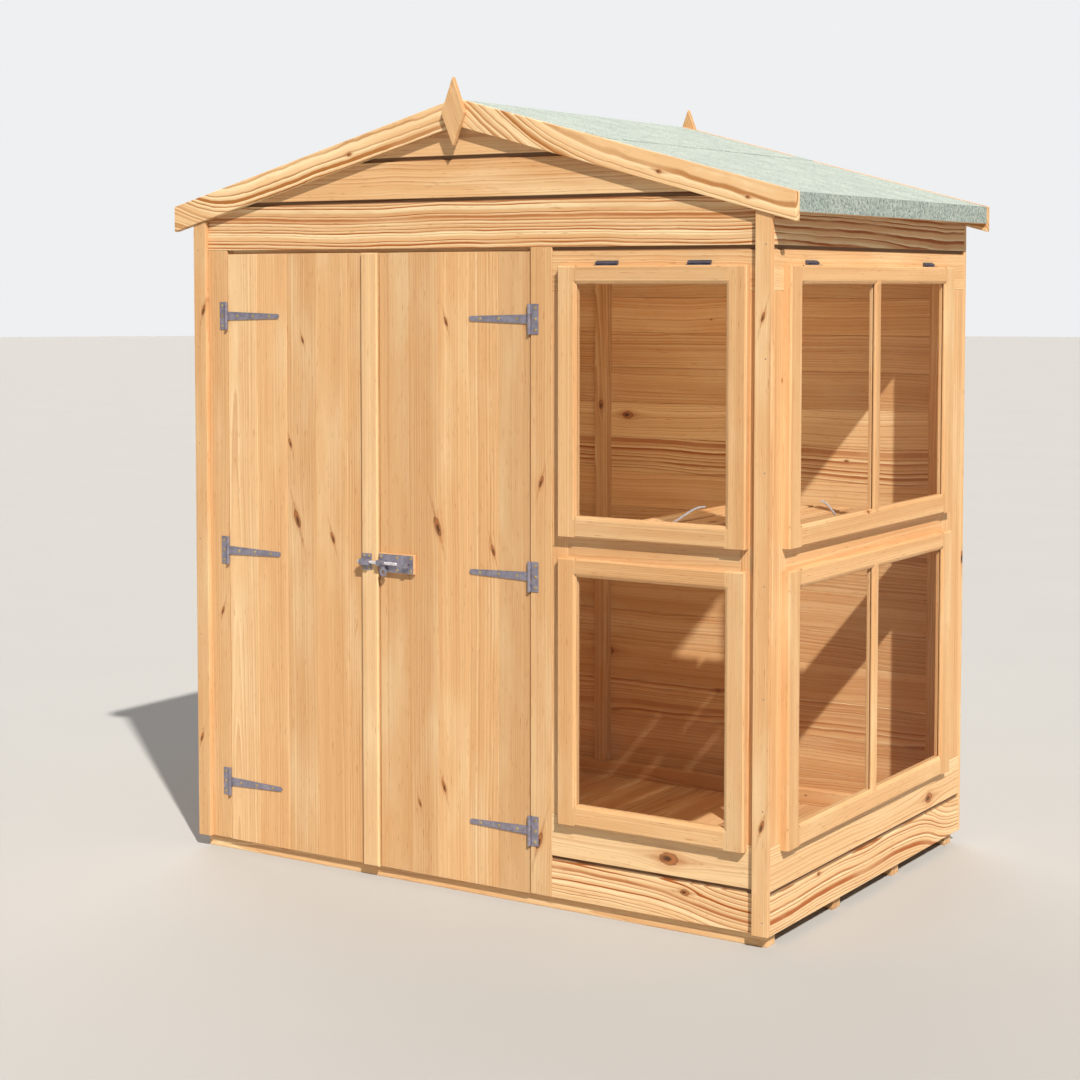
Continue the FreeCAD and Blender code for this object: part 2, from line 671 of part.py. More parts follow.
def tee_strap(axis, way, z):
    y = -HY - AXIS_OUT
    tip = axis + way * (STRAP_L - STRAP_TIP / 2)
    pts = [(axis, z - STRAP_ROOT / 2), (tip, z - STRAP_TIP / 2), (tip, z + STRAP_TIP / 2)]
    pts += [(axis, z + STRAP_ROOT / 2)]
    shape = prism_xz(pts, -HY - STRAP_T, -HY)
    shape = shape.fuse(rod(STRAP_TIP / 2, (tip, -HY - STRAP_T, z), (tip, -HY, z)))
    half = STRAP_ROOT / 2
    shape = shape.fuse(rod(KNUCKLE_R, (axis, y, z - half), (axis, y, z + half)))
    shape = shape.cut(rod(PIN_R + PIN_FIT, (axis, y, z - half - 1), (axis, y, z + half + 1)))
    for x, zz in strap_holes(axis, way, z):
        shape = shape.cut(rod(SCREW_HOLE, (x, -HY - 2 * AXIS_OUT, zz), (x, -HY + 1, zz)))
    return shape.removeSplitter()


def tee_hinges():
    out = (0, -1, 0)
    plates, pins, plate_screws = [], [], []
    strap_screws = {}
    for name, axis, way in (("left", LEFT_AXIS, 1), ("right", RIGHT_AXIS, -1)):
        straps, strap_screws[name] = [], []
        for z in HINGE_Z:
            y = -HY - AXIS_OUT
            plates.append(tee_plate(axis, way, z))
            straps.append(tee_strap(axis, way, z))
            pins.append(rod(PIN_R, (axis, y, z - PLATE_H / 2), (axis, y, z + PLATE_H / 2)))
            plate_screws += [screw(x, -HY, zz, out, PLATE_T) for x, zz in plate_holes(axis, way, z)]
            strap_screws[name] += [screw(x, -HY, zz, out, STRAP_T) for x, zz in strap_holes(axis, way, z)]
        save(name + "_hinge_straps", straps)
    save("hinge_plates", plates)
    save("hinge_pins", pins)
    save("hinge_plate_screws", plate_screws)
    return strap_screws


def guide(x0, x1, base_y, hole):
    reach = ROD_R + GUIDE_WALL
    body = box(x0, x1, ROD_Y - reach, base_y, BOLT_Z - reach, BOLT_Z + reach)
    return body.cut(rod(hole, (x0 - 1, ROD_Y, BOLT_Z), (x1 + 1, ROD_Y, BOLT_Z)))


def pad_bolt(strap_screws):
    out = (0, -1, 0)
    small = SMALL_SCREW
    seat = -HY - COVER_STRIP_T
    plate = box(BASE_X0, BASE_X1, seat - BASE_T, seat, BOLT_Z - BASE_H / 2, BOLT_Z + BASE_H / 2)
    free_end = [e for e in plate.Edges if all(v.X > BASE_X1 - 1 for v in e.Vertexes)]
    corners = [e for e in free_end if abs(e.tangentAt(0).y) > 0.9]
    plate = plate.makeFillet(BASE_ROUND, corners)
    for x0 in (BASE_X0, BASE_X1 - GUIDE_END - GUIDE_W):
        plate = plate.fuse(guide(x0, x0 + GUIDE_W, seat - BASE_T, ROD_R + ROD_FIT))
    columns = (BASE_X0 + BASE_SCREW_IN, BASE_X0 + BASE_SCREW_MID, BASE_X1 - BASE_SCREW_IN)
    spots = [(x, BOLT_Z + dz) for x in columns for dz in (-BASE_SCREW_Z, BASE_SCREW_Z)]
    for x, z in spots:
        plate = plate.cut(rod(SCREW_HOLE * small, (x, seat - ROD_OUT, z), (x, seat + 1, z)))
    save("bolt_plate", [plate.removeSplitter()])
    bolt = rod(ROD_R, (ROD_X0, ROD_Y, BOLT_Z), (ROD_X1, ROD_Y, BOLT_Z))
    ends = [e for e in bolt.Edges if e.Length > 1 and e.Closed]
    save("bolt_rod", [bolt.makeChamfer(ROD_BEVEL, ends)])
    mid = BOSS_X0 + BOSS_W / 2
    boss = rod(BOSS_R, (BOSS_X0, ROD_Y, BOLT_Z), (BOSS_X0 + BOSS_W, ROD_Y, BOLT_Z))
    eye_z = BOLT_Z - EYE_DROP
    y0, y1 = ROD_Y - EYE_T / 2, ROD_Y + EYE_T / 2
    neck = box(mid - NECK_W / 2, mid + NECK_W / 2, y0, y1, eye_z, BOLT_Z)
    handle = boss.fuse(neck).fuse(rod(EYE_R, (mid, y0, eye_z), (mid, y1, eye_z)))
    handle = handle.cut(rod(EYE_HOLE, (mid, y0 - 1, eye_z), (mid, y1 + 1, eye_z)))
    bore = rod(ROD_R + ROD_FIT, (BOSS_X0 - 1, ROD_Y, BOLT_Z), (BOSS_X0 + BOSS_W + 1, ROD_Y, BOLT_Z))
    save("bolt_handle", [handle.cut(bore).removeSplitter()])
    keeper = box(KEEPER_X0, KEEPER_X1, seat - KEEPER_T, seat, BOLT_Z - KEEPER_H / 2, BOLT_Z + KEEPER_H / 2)
    keeper = keeper.fuse(guide(KEEPER_X0, KEEPER_X1, seat - KEEPER_T, ROD_R + KEEPER_ROOM))
    columns = (KEEPER_X0 + KEEPER_SCREW_IN, KEEPER_X1 - KEEPER_SCREW_IN)
    holes = [(x, BOLT_Z + dz) for x in columns for dz in (-KEEPER_SCREW_Z, KEEPER_SCREW_Z)]
    for x, z in holes:
        keeper = keeper.cut(rod(SCREW_HOLE * small, (x, seat - ROD_OUT, z), (x, seat + 1, z)))
    save("bolt_keeper", [keeper.removeSplitter()])
    left = strap_screws["left"] + [screw(x, seat, z, out, KEEPER_T, small) for x, z in holes]
    right = strap_screws["right"] + [screw(x, seat, z, out, BASE_T, small) for x, z in spots]
    save("left_door_screws", left)
    save("right_door_screws", right)


# Windows are drawn flat: u along the wall, t out of the wall, z up, then turned to their wall
def to_front(shape):
    copy = shape.copy()
    copy.translate(V(0, -HY, 0))
    return copy


def to_right(shape):
    copy = shape.copy()
    copy.rotate(V(0, 0, 0), V(0, 0, 1), 90)
    copy.translate(V(HX, 0, 0))
    return copy


def bevel_block(u0, u1, z0, z1):
    def rect(y, grow):
        pts = [(u0 - grow, y, z0 - grow), (u1 + grow, y, z0 - grow), (u1 + grow, y, z1 + grow)]
        pts += [(u0 - grow, y, z1 + grow)]
        return Part.makePolygon([V(*p) for p in pts + pts[:1]])
    return Part.makeLoft([rect(-SASH_T + CHAMFER, 0), rect(-SASH_T - 0.01, CHAMFER)], True, True)


def panes(u0, u1, stile, bar):
    a, b = u0 + stile, u1 - stile
    if not bar:
        return [(a, b)]
    mid = (a + b) / 2
    return [(a, mid - bar / 2), (mid + bar / 2, b)]


def sash_members(u0, u1, z0, z1, stile, bar):
    ring = box(u0, u1, -SASH_T, 0, z0, z1)
    low, high = z0 + RAIL_LOW, z1 - RAIL_TOP
    w = REBATE_W
    for a, b in panes(u0, u1, stile, bar):
        ring = ring.cut(box(a, b, -SASH_T - 1, 1, low, high))
        ring = ring.cut(bevel_block(a, b, low, high))
        ring = ring.cut(box(a - w, b + w, -SASH_T + LIP_DEPTH, 1, low - w, high + w))
    a, b = u0 + stile, u1 - stile
    y0, y1 = -SASH_T - 1, 1
    cuts = [box(u0 - 1, a, y0, y1, z0 - 1, z1 + 1), box(b, u1 + 1, y0, y1, z0 - 1, z1 + 1)]
    cuts += [box(a, b, y0, y1, high, z1 + 1), box(a, b, y0, y1, z0 - 1, low)]
    if bar:
        cuts.append(box(a, b, y0, y1, low, high))
    return [ring.common(c) for c in cuts]


def glass_panes(u0, u1, z0, z1, stile, bar):
    grow = REBATE_W - GLASS_PLAY
    y = -SASH_T + LIP_DEPTH
    low, high = z0 + RAIL_LOW, z1 - RAIL_TOP
    return [box(a - grow, b + grow, y, y + GLASS_T, low - grow, high + grow)
            for a, b in panes(u0, u1, stile, bar)]


def beads(u0, u1, z0, z1, stile, bar):
    low, high = z0 + RAIL_LOW, z1 - RAIL_TOP
    w = REBATE_W
    y0, y1 = -SASH_T + LIP_DEPTH + GLASS_T, -BEAD_SET
    out = []
    for a, b in panes(u0, u1, stile, bar):
        out.append(box(a - w, a, y0, y1, low - w, high + w))
        out.append(box(b, b + w, y0, y1, low - w, high + w))
        out.append(box(a + BEAD_GAP, b - BEAD_GAP, y0, y1, high, high + w))
        out.append(box(a + BEAD_GAP, b - BEAD_GAP, y0, y1, low - w, low))
    return out


def butt_parts(u, top):
    y, z = -BUTT_OUT, top + BUTT_UP
    third = BUTT_L / 3
    a, b = u - BUTT_L / 2, u + BUTT_L / 2
    hole = rod(BUTT_PIN + PIN_FIT, (a - 1, y, z), (b + 1, y, z))
    wall = box(a, b, -LEAF_T, 0, z + BUTT_R + KNUCKLE_GAP, z + WALL_LEAF_UP)
    for s, e in ((a, a + third - BUTT_PLAY), (b - third + BUTT_PLAY, b)):
        wall = wall.fuse(rod(BUTT_R, (s, y, z), (e, y, z)))
        wall = wall.fuse(box(s, e, -BUTT_OUT, 0, z, z + WEB_T))
    s, e = a + third, b - third
    leaf = box(a, b, -SASH_LEAF_1, -SASH_LEAF_0, top, top + LEAF_T)
    leaf = leaf.fuse(rod(BUTT_R, (s, y, z), (e, y, z)))
    leaf = leaf.fuse(box(s, e, -BUTT_OUT - WEB_T / 2, -BUTT_OUT + WEB_T / 2, top, z))
    pin = rod(BUTT_PIN, (a, y, z), (b, y, z))
    return wall.cut(hole).removeSplitter(), leaf.cut(hole).removeSplitter(), pin


def stay_arm(u, way):
    y = STAY_IN
    z = STAY_Z + LUG_T + STAY_PLAY
    steps = 10
    eye = rod(STAY_EYE, (u, y, z), (u, y, z + STAY_H))
    top, low = [], []
    for i in range(steps + 1):
        t = i / steps
        rise = STAY_RISE * t * t * (3 - 2 * t)
        top.append(V(u + way * STAY_L * t, y - STAY_T / 2, z + STAY_H + rise))
        low.append(V(u + way * STAY_L * t, y - STAY_T / 2, z + (STAY_H - STAY_TIP_H) * t + rise))
    upper, lower = Part.BSplineCurve(), Part.BSplineCurve()
    upper.interpolate(top)
    lower.interpolate(low)
    edges = [upper.toShape(), Part.makeLine(top[-1], low[-1])]
    edges += [lower.toShape(), Part.makeLine(low[0], top[0])]
    arm = Part.Face(Part.Wire(Part.__sortEdges__(edges))).extrude(V(0, STAY_T, 0))
    end_u, end_z = u + way * STAY_L, z + STAY_H - STAY_TIP_H / 2 + STAY_RISE
    curl = rod(CURL_R, (end_u, y - STAY_T / 2, end_z), (end_u, y + STAY_T / 2, end_z))
    hole = rod(STAY_PIN + PIN_FIT, (u, y, z - STAY_H), (u, y, z + 2 * STAY_H))
    return eye.fuse(arm).fuse(curl).cut(hole).removeSplitter()


def stay_bracket(u):
    z = STAY_Z
    base = box(u - BRACKET_W / 2, u + BRACKET_W / 2, 0, BRACKET_T, z, z + BRACKET_H)
    lug = box(u - LUG_W / 2, u + LUG_W / 2, 0, STAY_IN + LUG_W / 2, z, z + LUG_T)
    top = z + LUG_T + STAY_H + 2 * STAY_PLAY
    pin = rod(STAY_PIN, (u, STAY_IN, z), (u, STAY_IN, top + PIN_HEAD_H))
    head = rod(PIN_HEAD_R, (u, STAY_IN, top), (u, STAY_IN, top + PIN_HEAD_H))
    return base.fuse(lug).fuse(pin).fuse(head).removeSplitter()


def windows():
    wall_leaves, pegs, lower_beads = [], [], []
    plans = (
        ("front", to_front, FRONT_SASH, FRONT_STILE, 0, FRONT_BUTT_IN, FRONT_STAY_END, 1),
        ("right", to_right, SIDE_SASH, SIDE_STILE, BAR_W, SIDE_BUTT_IN, SIDE_STAY_END, -1),
    )
    for name, place, span, stile, bar, butt_in, stay_end, way in plans:
        u0, u1 = span
        stay_u = (u1 - SASH_LAP if way > 0 else u0 + SASH_LAP) - way * (STAY_L + stay_end)
        upper = (u0, u1, UPPER_Z0, UPPER_Z1, stile, bar)
        lower = (u0, u1, LOWER_Z0, LOWER_Z1, stile, bar)
        save(name + "_upper_sash", [place(s) for s in sash_members(*upper)])
        save(name + "_upper_glass", [place(s) for s in glass_panes(*upper)])
        save(name + "_upper_beads", [place(s) for s in beads(*upper)])
        save(name + "_lower_sash", [place(s) for s in sash_members(*lower)])
        save(name + "_lower_glass", [place(s) for s in glass_panes(*lower)])
        lower_beads += [place(s) for s in beads(*lower)]
        moving = [place(stay_bracket(stay_u))]
        for u in (u0 + butt_in, u1 - butt_in):
            wall, leaf, pin = butt_parts(u, UPPER_Z1)
            wall_leaves += [place(wall), place(pin)]
            moving.append(place(leaf))
        save(name + "_sash_hardware", moving)
        save(name + "_stay", [place(stay_arm(stay_u, way))])
        peg_u = stay_u + PEG_ALONG
        peg = rod(PEG_R, (peg_u, PEG_IN, MID_Z1), (peg_u, PEG_IN, MID_Z1 + PEG_H))
        pegs.append(place(peg))
    save("lower_beads", lower_beads)
    save("sash_hinge_leaves", wall_leaves)
    save("stay_pegs", pegs)


def bench():
    top, low = BENCH_Z, BENCH_Z - SLAT_T
    slats = []
    for i in range(SLAT_N):
        x1 = BENCH_X1 - i * (SLAT_W + SLAT_GAP)
        slats.append(box(x1 - SLAT_W, x1, BENCH_Y0, BENCH_Y1, low, top))
    save("bench_slats", slats)
    x0 = BENCH_X1 - SLAT_N * SLAT_W - (SLAT_N - 1) * SLAT_GAP + LEG_IN
    rear_y = BENCH_Y1 - SUPPORT_IN - FRAME_D
    # the front end hangs on the wall rail, the inner end has a leg
    supports = [box(x0, FRAME_X, y, y + FRAME_D, low - FRAME_W, low) for y in (-FRAME_Y, rear_y)]
    supports.append(box(x0, x0 + FRAME_W, rear_y, rear_y + FRAME_D, FLOOR_TOP, low - FRAME_W))
    save("bench_supports", supports)


base()
front_wall()
right_wall()
left_wall()
back_wall()
corner_strips()
roof()
doors()
pad_bolt(tee_hinges())
windows()
bench()
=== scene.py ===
import json
import math
import random

import bmesh
import bpy
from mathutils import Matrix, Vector


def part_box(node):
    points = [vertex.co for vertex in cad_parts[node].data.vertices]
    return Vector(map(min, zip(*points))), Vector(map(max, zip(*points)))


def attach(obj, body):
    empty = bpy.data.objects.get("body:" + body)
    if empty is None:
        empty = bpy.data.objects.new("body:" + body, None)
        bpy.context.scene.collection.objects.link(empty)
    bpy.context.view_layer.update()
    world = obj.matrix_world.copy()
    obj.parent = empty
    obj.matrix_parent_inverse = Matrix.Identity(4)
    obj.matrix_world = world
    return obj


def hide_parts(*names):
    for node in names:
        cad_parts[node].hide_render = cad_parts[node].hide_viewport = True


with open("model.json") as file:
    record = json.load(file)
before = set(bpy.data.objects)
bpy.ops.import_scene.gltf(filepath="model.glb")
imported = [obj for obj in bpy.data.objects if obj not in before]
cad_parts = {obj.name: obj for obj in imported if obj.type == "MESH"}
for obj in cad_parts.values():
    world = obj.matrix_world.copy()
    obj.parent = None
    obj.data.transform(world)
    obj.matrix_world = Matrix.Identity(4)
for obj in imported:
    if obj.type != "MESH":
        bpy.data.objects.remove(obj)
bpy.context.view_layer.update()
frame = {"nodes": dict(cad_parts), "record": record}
nodes = frame["nodes"]
bodies = frame["record"]["behaviour"]["bodies"]
bodyOf = {node: body for body, members in bodies.items() for node in members}
print("frame loaded:", len(nodes), "nodes")


# small helpers for building shader and geometry trees
def setSockets(tree, node, values):
    for key, value in values.items():
        if isinstance(value, bpy.types.NodeSocket):
            tree.links.new(value, node.inputs[key])
        else:
            node.inputs[key].default_value = value


def addNode(tree, kind, values=None, **settings):
    made = tree.nodes.new(kind)
    for key, value in settings.items():
        setattr(made, key, value)
    setSockets(tree, made, values or {})
    return made


def calc(tree, operation, first, second=0.0, third=0.0):
    return addNode(tree, "ShaderNodeMath", {0: first, 1: second, 2: third}, operation=operation).outputs[0]


def times(tree, first, second):
    return calc(tree, "MULTIPLY", first, second)


def plus(tree, first, second):
    return calc(tree, "ADD", first, second)


def timesPlus(tree, first, second, third):
    return calc(tree, "MULTIPLY_ADD", first, second, third)


def fold(tree, operation, values):
    total = values[0]
    for value in values[1:]:
        total = calc(tree, operation, total, value)
    return total


def ease(tree, value, low, high, start=0.0, end=1.0):
    sockets = {"Value": value, "From Min": low, "From Max": high, "To Min": start, "To Max": end}
    return addNode(tree, "ShaderNodeMapRange", sockets, interpolation_type="SMOOTHSTEP").outputs[0]


def mixColour(tree, amount, under, over, mode="MIX"):
    sockets = {0: amount, 6: under, 7: over}
    return addNode(tree, "ShaderNodeMix", sockets, data_type="RGBA", blend_type=mode).outputs[2]


def vectorOf(tree, x, y, z):
    return addNode(tree, "ShaderNodeCombineXYZ", {0: x, 1: y, 2: z}).outputs[0]


def attribute(tree, name):
    reader = addNode(tree, "ShaderNodeAttribute", attribute_name=name)
    return addNode(tree, "ShaderNodeSeparateXYZ", {0: reader.outputs["Vector"]}).outputs[:3]


def objectPlace(tree):
    return addNode(tree, "ShaderNodeTexCoord").outputs["Object"]


def noiseAt(tree, x, y, z, detail=2.0, roughness=0.5):
    values = {"Vector": vectorOf(tree, x, y, z), "Scale": 1.0, "Detail": detail, "Roughness": roughness}
    return addNode(tree, "ShaderNodeTexNoise", values)


def noiseOn(tree, place, settings):
    return addNode(tree, "ShaderNodeTexNoise", {"Vector": place, **settings}).outputs[0]


# a cell pattern: the distances in it and one random value for each cell
def cellsOn(tree, place, scale):
    cells = addNode(tree, "ShaderNodeTexVoronoi", {"Vector": place, "Scale": scale})
    value = addNode(tree, "ShaderNodeSeparateColor", {0: cells.outputs["Color"]}).outputs[0]
    return cells.outputs["Distance"], value


def bumpOf(tree, settings, height):
    return addNode(tree, "ShaderNodeBump", {**settings, "Height": height}).outputs[0]


def newMaterial(name):
    material = bpy.data.materials.new(name)
    material.use_nodes = True
    tree = material.node_tree
    return material, tree, tree.nodes["Principled BSDF"]


# pine, drawn as rings round a pith line that each board carries in its own attributes
knotLayers = ("knotFirst", "knotSecond", "knotThird")
pineShape = {
    "seedSpread": 31.7, "tiny": 0.0001,
    "bendReach": 0.36, "bendSlack": 0.004, "bendPush": -1.15, "eyeOffset": 0.45,
    "boldCalm": 0.7, "boldGap": 0.4, "boldVigour": 0.7, "weakest": 0.4,
    "rippleAcross": 22.0, "unevenRate": 45.0, "unevenShare": 1.8, "fadeStep": 3.1, "fadeDetail": 3.0,
    "fadeRamp": (0.34, 0.55), "lateEnd": (1.0, 0.95), "earlyRamp": (0.45, 0.0),
    "bandRate": 0.45, "bandDetail": 3.0, "bandRamp": (0.34, 0.66),
    "blushRate": 2.4, "blushAcross": 9.0, "blushDetail": 3.0, "blushRamp": (0.45, 0.8, 0.0, 0.35),
    "fibreRate": 11.0, "fibreAcross": 420.0, "fibreDetail": (3.0, 0.6),
    "fleckRate": 26.0, "fleckAcross": 300.0, "fleckDetail": 1.0, "fleckRamp": (0.64, 0.78, 0.0, 0.4),
    "haloRamp": (2.4, 0.9, 0.0, 0.4), "tailRamp": (0.3, 0.6, 0.2, 0.75),
    "eyeRag": 0.5, "eyeRamp": (0.42, 0.85), "knotRag": 0.6,
    "rimRamp": (0.72, 0.98, 0.0, 0.6), "knotRamp": (1.12, 0.88, 0.0, 0.9),
    # the first value on the next line sets how strongly painted shade darkens the lap recesses
    "stainAndShade": 0.85, "rough": (0.22, 0.5), "shine": 0.25,
    "lateRise": 0.5, "fibreRise": 0.6, "bump": {"Strength": 0.35, "Distance": 0.0006},
}


# knots push the grain aside; the nearest one shows as a disc with a dark eye and a tail along the grain
def knotField(tree, across, look):
    pushes, gaps, eyes, tails = [across], [], [], []
    for layer in knotLayers:
        spotX, spotY, radius = attribute(tree, layer)
        size = calc(tree, "MAXIMUM", radius, pineShape["tiny"])
        flat = times(tree, spotX, look["knotStretch"])
        spotY = timesPlus(tree, spotX, look["knotLean"], spotY)
        gap = calc(tree, "SQRT", timesPlus(tree, flat, flat, times(tree, spotY, spotY)))
        away = calc(tree, "DIVIDE", gap, size)
        bend = times(tree, away, pineShape["bendReach"])
        fall = calc(tree, "EXPONENT", times(tree, times(tree, bend, bend), -1.0))
        lean = plus(tree, calc(tree, "ABSOLUTE", spotY), pineShape["bendSlack"])
        lean = times(tree, calc(tree, "DIVIDE", spotY, lean), pineShape["bendPush"])
        pushes.append(times(tree, times(tree, fall, radius), lean))
        gaps.append(away)
        eyes.append(timesPlus(tree, calc(tree, "DIVIDE", flat, size), pineShape["eyeOffset"], away))
        length = times(tree, calc(tree, "DIVIDE", spotX, size), 1.0 / look["tailLength"])
        breadth = times(tree, calc(tree, "DIVIDE", spotY, size), 1.0 / look["tailWidth"])
        trail = timesPlus(tree, length, length, times(tree, breadth, breadth))
        tails.append(calc(tree, "EXPONENT", times(tree, trail, -1.0)))
    pushed, nearest = fold(tree, "ADD", pushes), fold(tree, "MINIMUM", gaps)
    return pushed, nearest, fold(tree, "MINIMUM", eyes), fold(tree, "MAXIMUM", tails)


# rings round the wandering pith: dark late wood and pale early wood
def ringField(tree, along, pushed, deep, shift, figure, look):
    strength = calc(tree, "MINIMUM", figure, 1.0)
    bold = calc(tree, "MAXIMUM", plus(tree, figure, -1.0), 0.0)
    sway = noiseAt(tree, times(tree, along, look["swayRate"]), shift, 0.0)
    swayX, swayY = addNode(tree, "ShaderNodeSeparateColor", {0: sway.outputs["Color"]}).outputs[:2]
    calm = timesPlus(tree, bold, -pineShape["boldCalm"] * look["sway"], look["sway"])
    ringX = timesPlus(tree, plus(tree, swayX, -0.5), calm, pushed)
    ringY = timesPlus(tree, plus(tree, swayY, -0.5), calm, deep)
    reach = calc(tree, "SQRT", timesPlus(tree, ringX, ringX, times(tree, ringY, ringY)))
    rippleX = times(tree, along, look["rippleRate"])
    rippleY = timesPlus(tree, pushed, pineShape["rippleAcross"], shift)
    ripple = noiseAt(tree, rippleX, rippleY, times(tree, deep, pineShape["rippleAcross"])).outputs[0]
    reach = plus(tree, reach, timesPlus(tree, ripple, look["ripple"], look["ripple"] * -0.5))
    lineNoise = {"W": timesPlus(tree, reach, pineShape["unevenRate"], shift), "Scale": 1.0, "Detail": 1.0}
    uneven = addNode(tree, "ShaderNodeTexNoise", lineNoise, noise_dimensions="1D").outputs[0]
    perMetre = timesPlus(tree, bold, -pineShape["boldGap"] / look["ringGap"], 1.0 / look["ringGap"])
    year = timesPlus(tree, reach, perMetre, times(tree, uneven, pineShape["unevenShare"]))
    within, count = calc(tree, "FRACT", year), calc(tree, "FLOOR", year)
    drawn = addNode(tree, "ShaderNodeTexWhiteNoise", {"W": plus(tree, count, shift)}, noise_dimensions="1D")
    vigour = ease(tree, drawn.outputs[0], 0.0, 1.0, pineShape["weakest"], 1.0)
    vigour = calc(tree, "MINIMUM", timesPlus(tree, bold, pineShape["boldVigour"], vigour), 1.0)
    vigour = times(tree, vigour, strength)
    fadeX, fadeY = times(tree, along, look["fadeRate"]), timesPlus(tree, count, pineShape["fadeStep"], shift)
    fade = noiseAt(tree, fadeX, fadeY, 0.0, pineShape["fadeDetail"]).outputs[0]
    vigour = times(tree, vigour, ease(tree, fade, *pineShape["fadeRamp"], look["fadeLow"], 1.0))
    late = ease(tree, within, look["lateFrom"], look["lateFull"])
    late = times(tree, times(tree, late, ease(tree, within, *pineShape["lateEnd"])), vigour)
    return late, times(tree, ease(tree, within, *pineShape["earlyRamp"]), vigour)


def streaks(tree, start, pushed, deep, spread, *detail):
    return noiseAt(tree, start, times(tree, pushed, spread), times(tree, deep, spread), *detail).outputs[0]


def pineMaterial(name, look):
    material, tree, shader = newMaterial(name)
    along, across, deep = attribute(tree, "grain")
    tone, figure, seed = attribute(tree, "board")
    shift = times(tree, seed, pineShape["seedSpread"])
    pushed, nearest, eye, tail = knotField(tree, across, look)
    late, early = ringField(tree, along, pushed, deep, shift, figure, look)

    # broad bands, fine fibre, short resin flecks
    bandStart = timesPlus(tree, along, pineShape["bandRate"], shift)
    fleckStart = timesPlus(tree, along, pineShape["fleckRate"], shift)
    band = streaks(tree, bandStart, pushed, deep, look["bands"], pineShape["bandDetail"])
    fleck = streaks(tree, fleckStart, pushed, deep, pineShape["fleckAcross"], pineShape["fleckDetail"])
    fibreStart = times(tree, along, pineShape["fibreRate"])
    fibre = streaks(tree, fibreStart, pushed, deep, pineShape["fibreAcross"], *pineShape["fibreDetail"])
    blushX = timesPlus(tree, along, pineShape["blushRate"], shift)
    blushY = times(tree, pushed, pineShape["blushAcross"])
    blush = noiseAt(tree, blushX, blushY, shift, pineShape["blushDetail"]).outputs[0]

    # board colours, then rings, flecks and knots laid over them
    half = look["bandShare"] * 0.5
    amount = ease(tree, band, *pineShape["bandRamp"], 0.5 - half, 0.5 + half)
    colour = mixColour(tree, amount, look["honey"], look["straw"])
    colour = mixColour(tree, ease(tree, blush, *pineShape["blushRamp"]), colour, look["cream"])
    pale = calc(tree, "MAXIMUM", plus(tree, tone, -1.0), 0.0)
    colour = mixColour(tree, pale, colour, look["cream"])
    colour = mixColour(tree, times(tree, early, look["earlyShare"]), colour, look["cream"])
    colour = mixColour(tree, times(tree, late, look["lateShare"]), colour, look["amber"])
    colour = mixColour(tree, ease(tree, fleck, *pineShape["fleckRamp"]), colour, look["amber"])
    colour = mixColour(tree, ease(tree, nearest, *pineShape["haloRamp"]), colour, look["halo"])
    smear = times(tree, tail, ease(tree, fibre, *pineShape["tailRamp"]))
    colour = mixColour(tree, smear, colour, look["knotRed"])
    ragged = timesPlus(tree, fibre, pineShape["knotRag"], plus(tree, nearest, pineShape["knotRag"] * -0.5))
    raggedEye = timesPlus(tree, fibre, pineShape["eyeRag"], eye)
    inside = mixColour(tree, ease(tree, raggedEye, *pineShape["eyeRamp"]), look["knotDark"], look["knotRed"])
    inside = mixColour(tree, ease(tree, ragged, *pineShape["rimRamp"]), inside, look["knotDark"])
    colour = mixColour(tree, ease(tree, ragged, *pineShape["knotRamp"]), colour, inside)

    # fibre and tone shade the whole; the lap recesses are darkened with painted shade
    shade = timesPlus(tree, fibre, look["fibre"], 1.0 - look["fibre"] * 0.5)
    shade = times(tree, shade, timesPlus(tree, calc(tree, "MINIMUM", tone, 1.0), look["toneSpread"], 1.0))
    colour = mixColour(tree, 1.0, colour, vectorOf(tree, shade, shade, shade), "MULTIPLY")
    # painted shade: the lap recesses behind each board's face are mixed towards a dark brown
    lapShade = addNode(tree, "ShaderNodeAttribute", attribute_name="lapShade").outputs["Fac"]
    colour = mixColour(tree, times(tree, lapShade, pineShape["stainAndShade"]), colour, look["lapShade"])
    height = plus(tree, times(tree, late, pineShape["lateRise"]), times(tree, fibre, pineShape["fibreRise"]))
    setSockets(tree, shader, {
        "Base Color": colour, "Roughness": timesPlus(tree, fibre, *pineShape["rough"]),
        "Specular IOR Level": pineShape["shine"], "Normal": bumpOf(tree, pineShape["bump"], height),
    })
    return material


pineBase = {
    "honey": (0.6, 0.325, 0.14, 1.0), "straw": (0.7, 0.43, 0.21, 1.0), "cream": (0.85, 0.71, 0.44, 1.0),
    # the last colour on the next line is the painted shade colour for the lap recesses
    "amber": (0.34, 0.08, 0.007, 1.0), "halo": (0.52, 0.235, 0.085, 1.0), "lapShade": (0.13, 0.055, 0.024, 1.0),
    "knotRed": (0.36, 0.13, 0.042, 1.0), "knotDark": (0.05, 0.018, 0.008, 1.0),
    "knotStretch": 0.6, "knotLean": 0.0, "tailLength": 5.0, "tailWidth": 0.5,
    "sway": 0.05, "swayRate": 1.3, "ripple": 0.008, "rippleRate": 6.0, "ringGap": 0.012,
    "fadeRate": 3.0, "fadeLow": 0.45, "lateFrom": 0.52, "lateFull": 0.86, "earlyShare": 0.9, "lateShare": 1.0,
    "bands": 24.0, "bandShare": 1.0, "fibre": 0.15, "toneSpread": 0.09,
}
claddingLook = {**pineBase, "ringGap": 0.0105, "lateFrom": 0.6, "lateFull": 0.78}
bargeLook = {
    **pineBase, "amber": (0.36, 0.135, 0.03, 1.0), "ringGap": 0.014, "sway": 0.03, "swayRate": 2.0,
    "ripple": 0.012, "rippleRate": 11.0, "lateFrom": 0.55, "lateFull": 0.82, "fadeRate": 2.0,
}
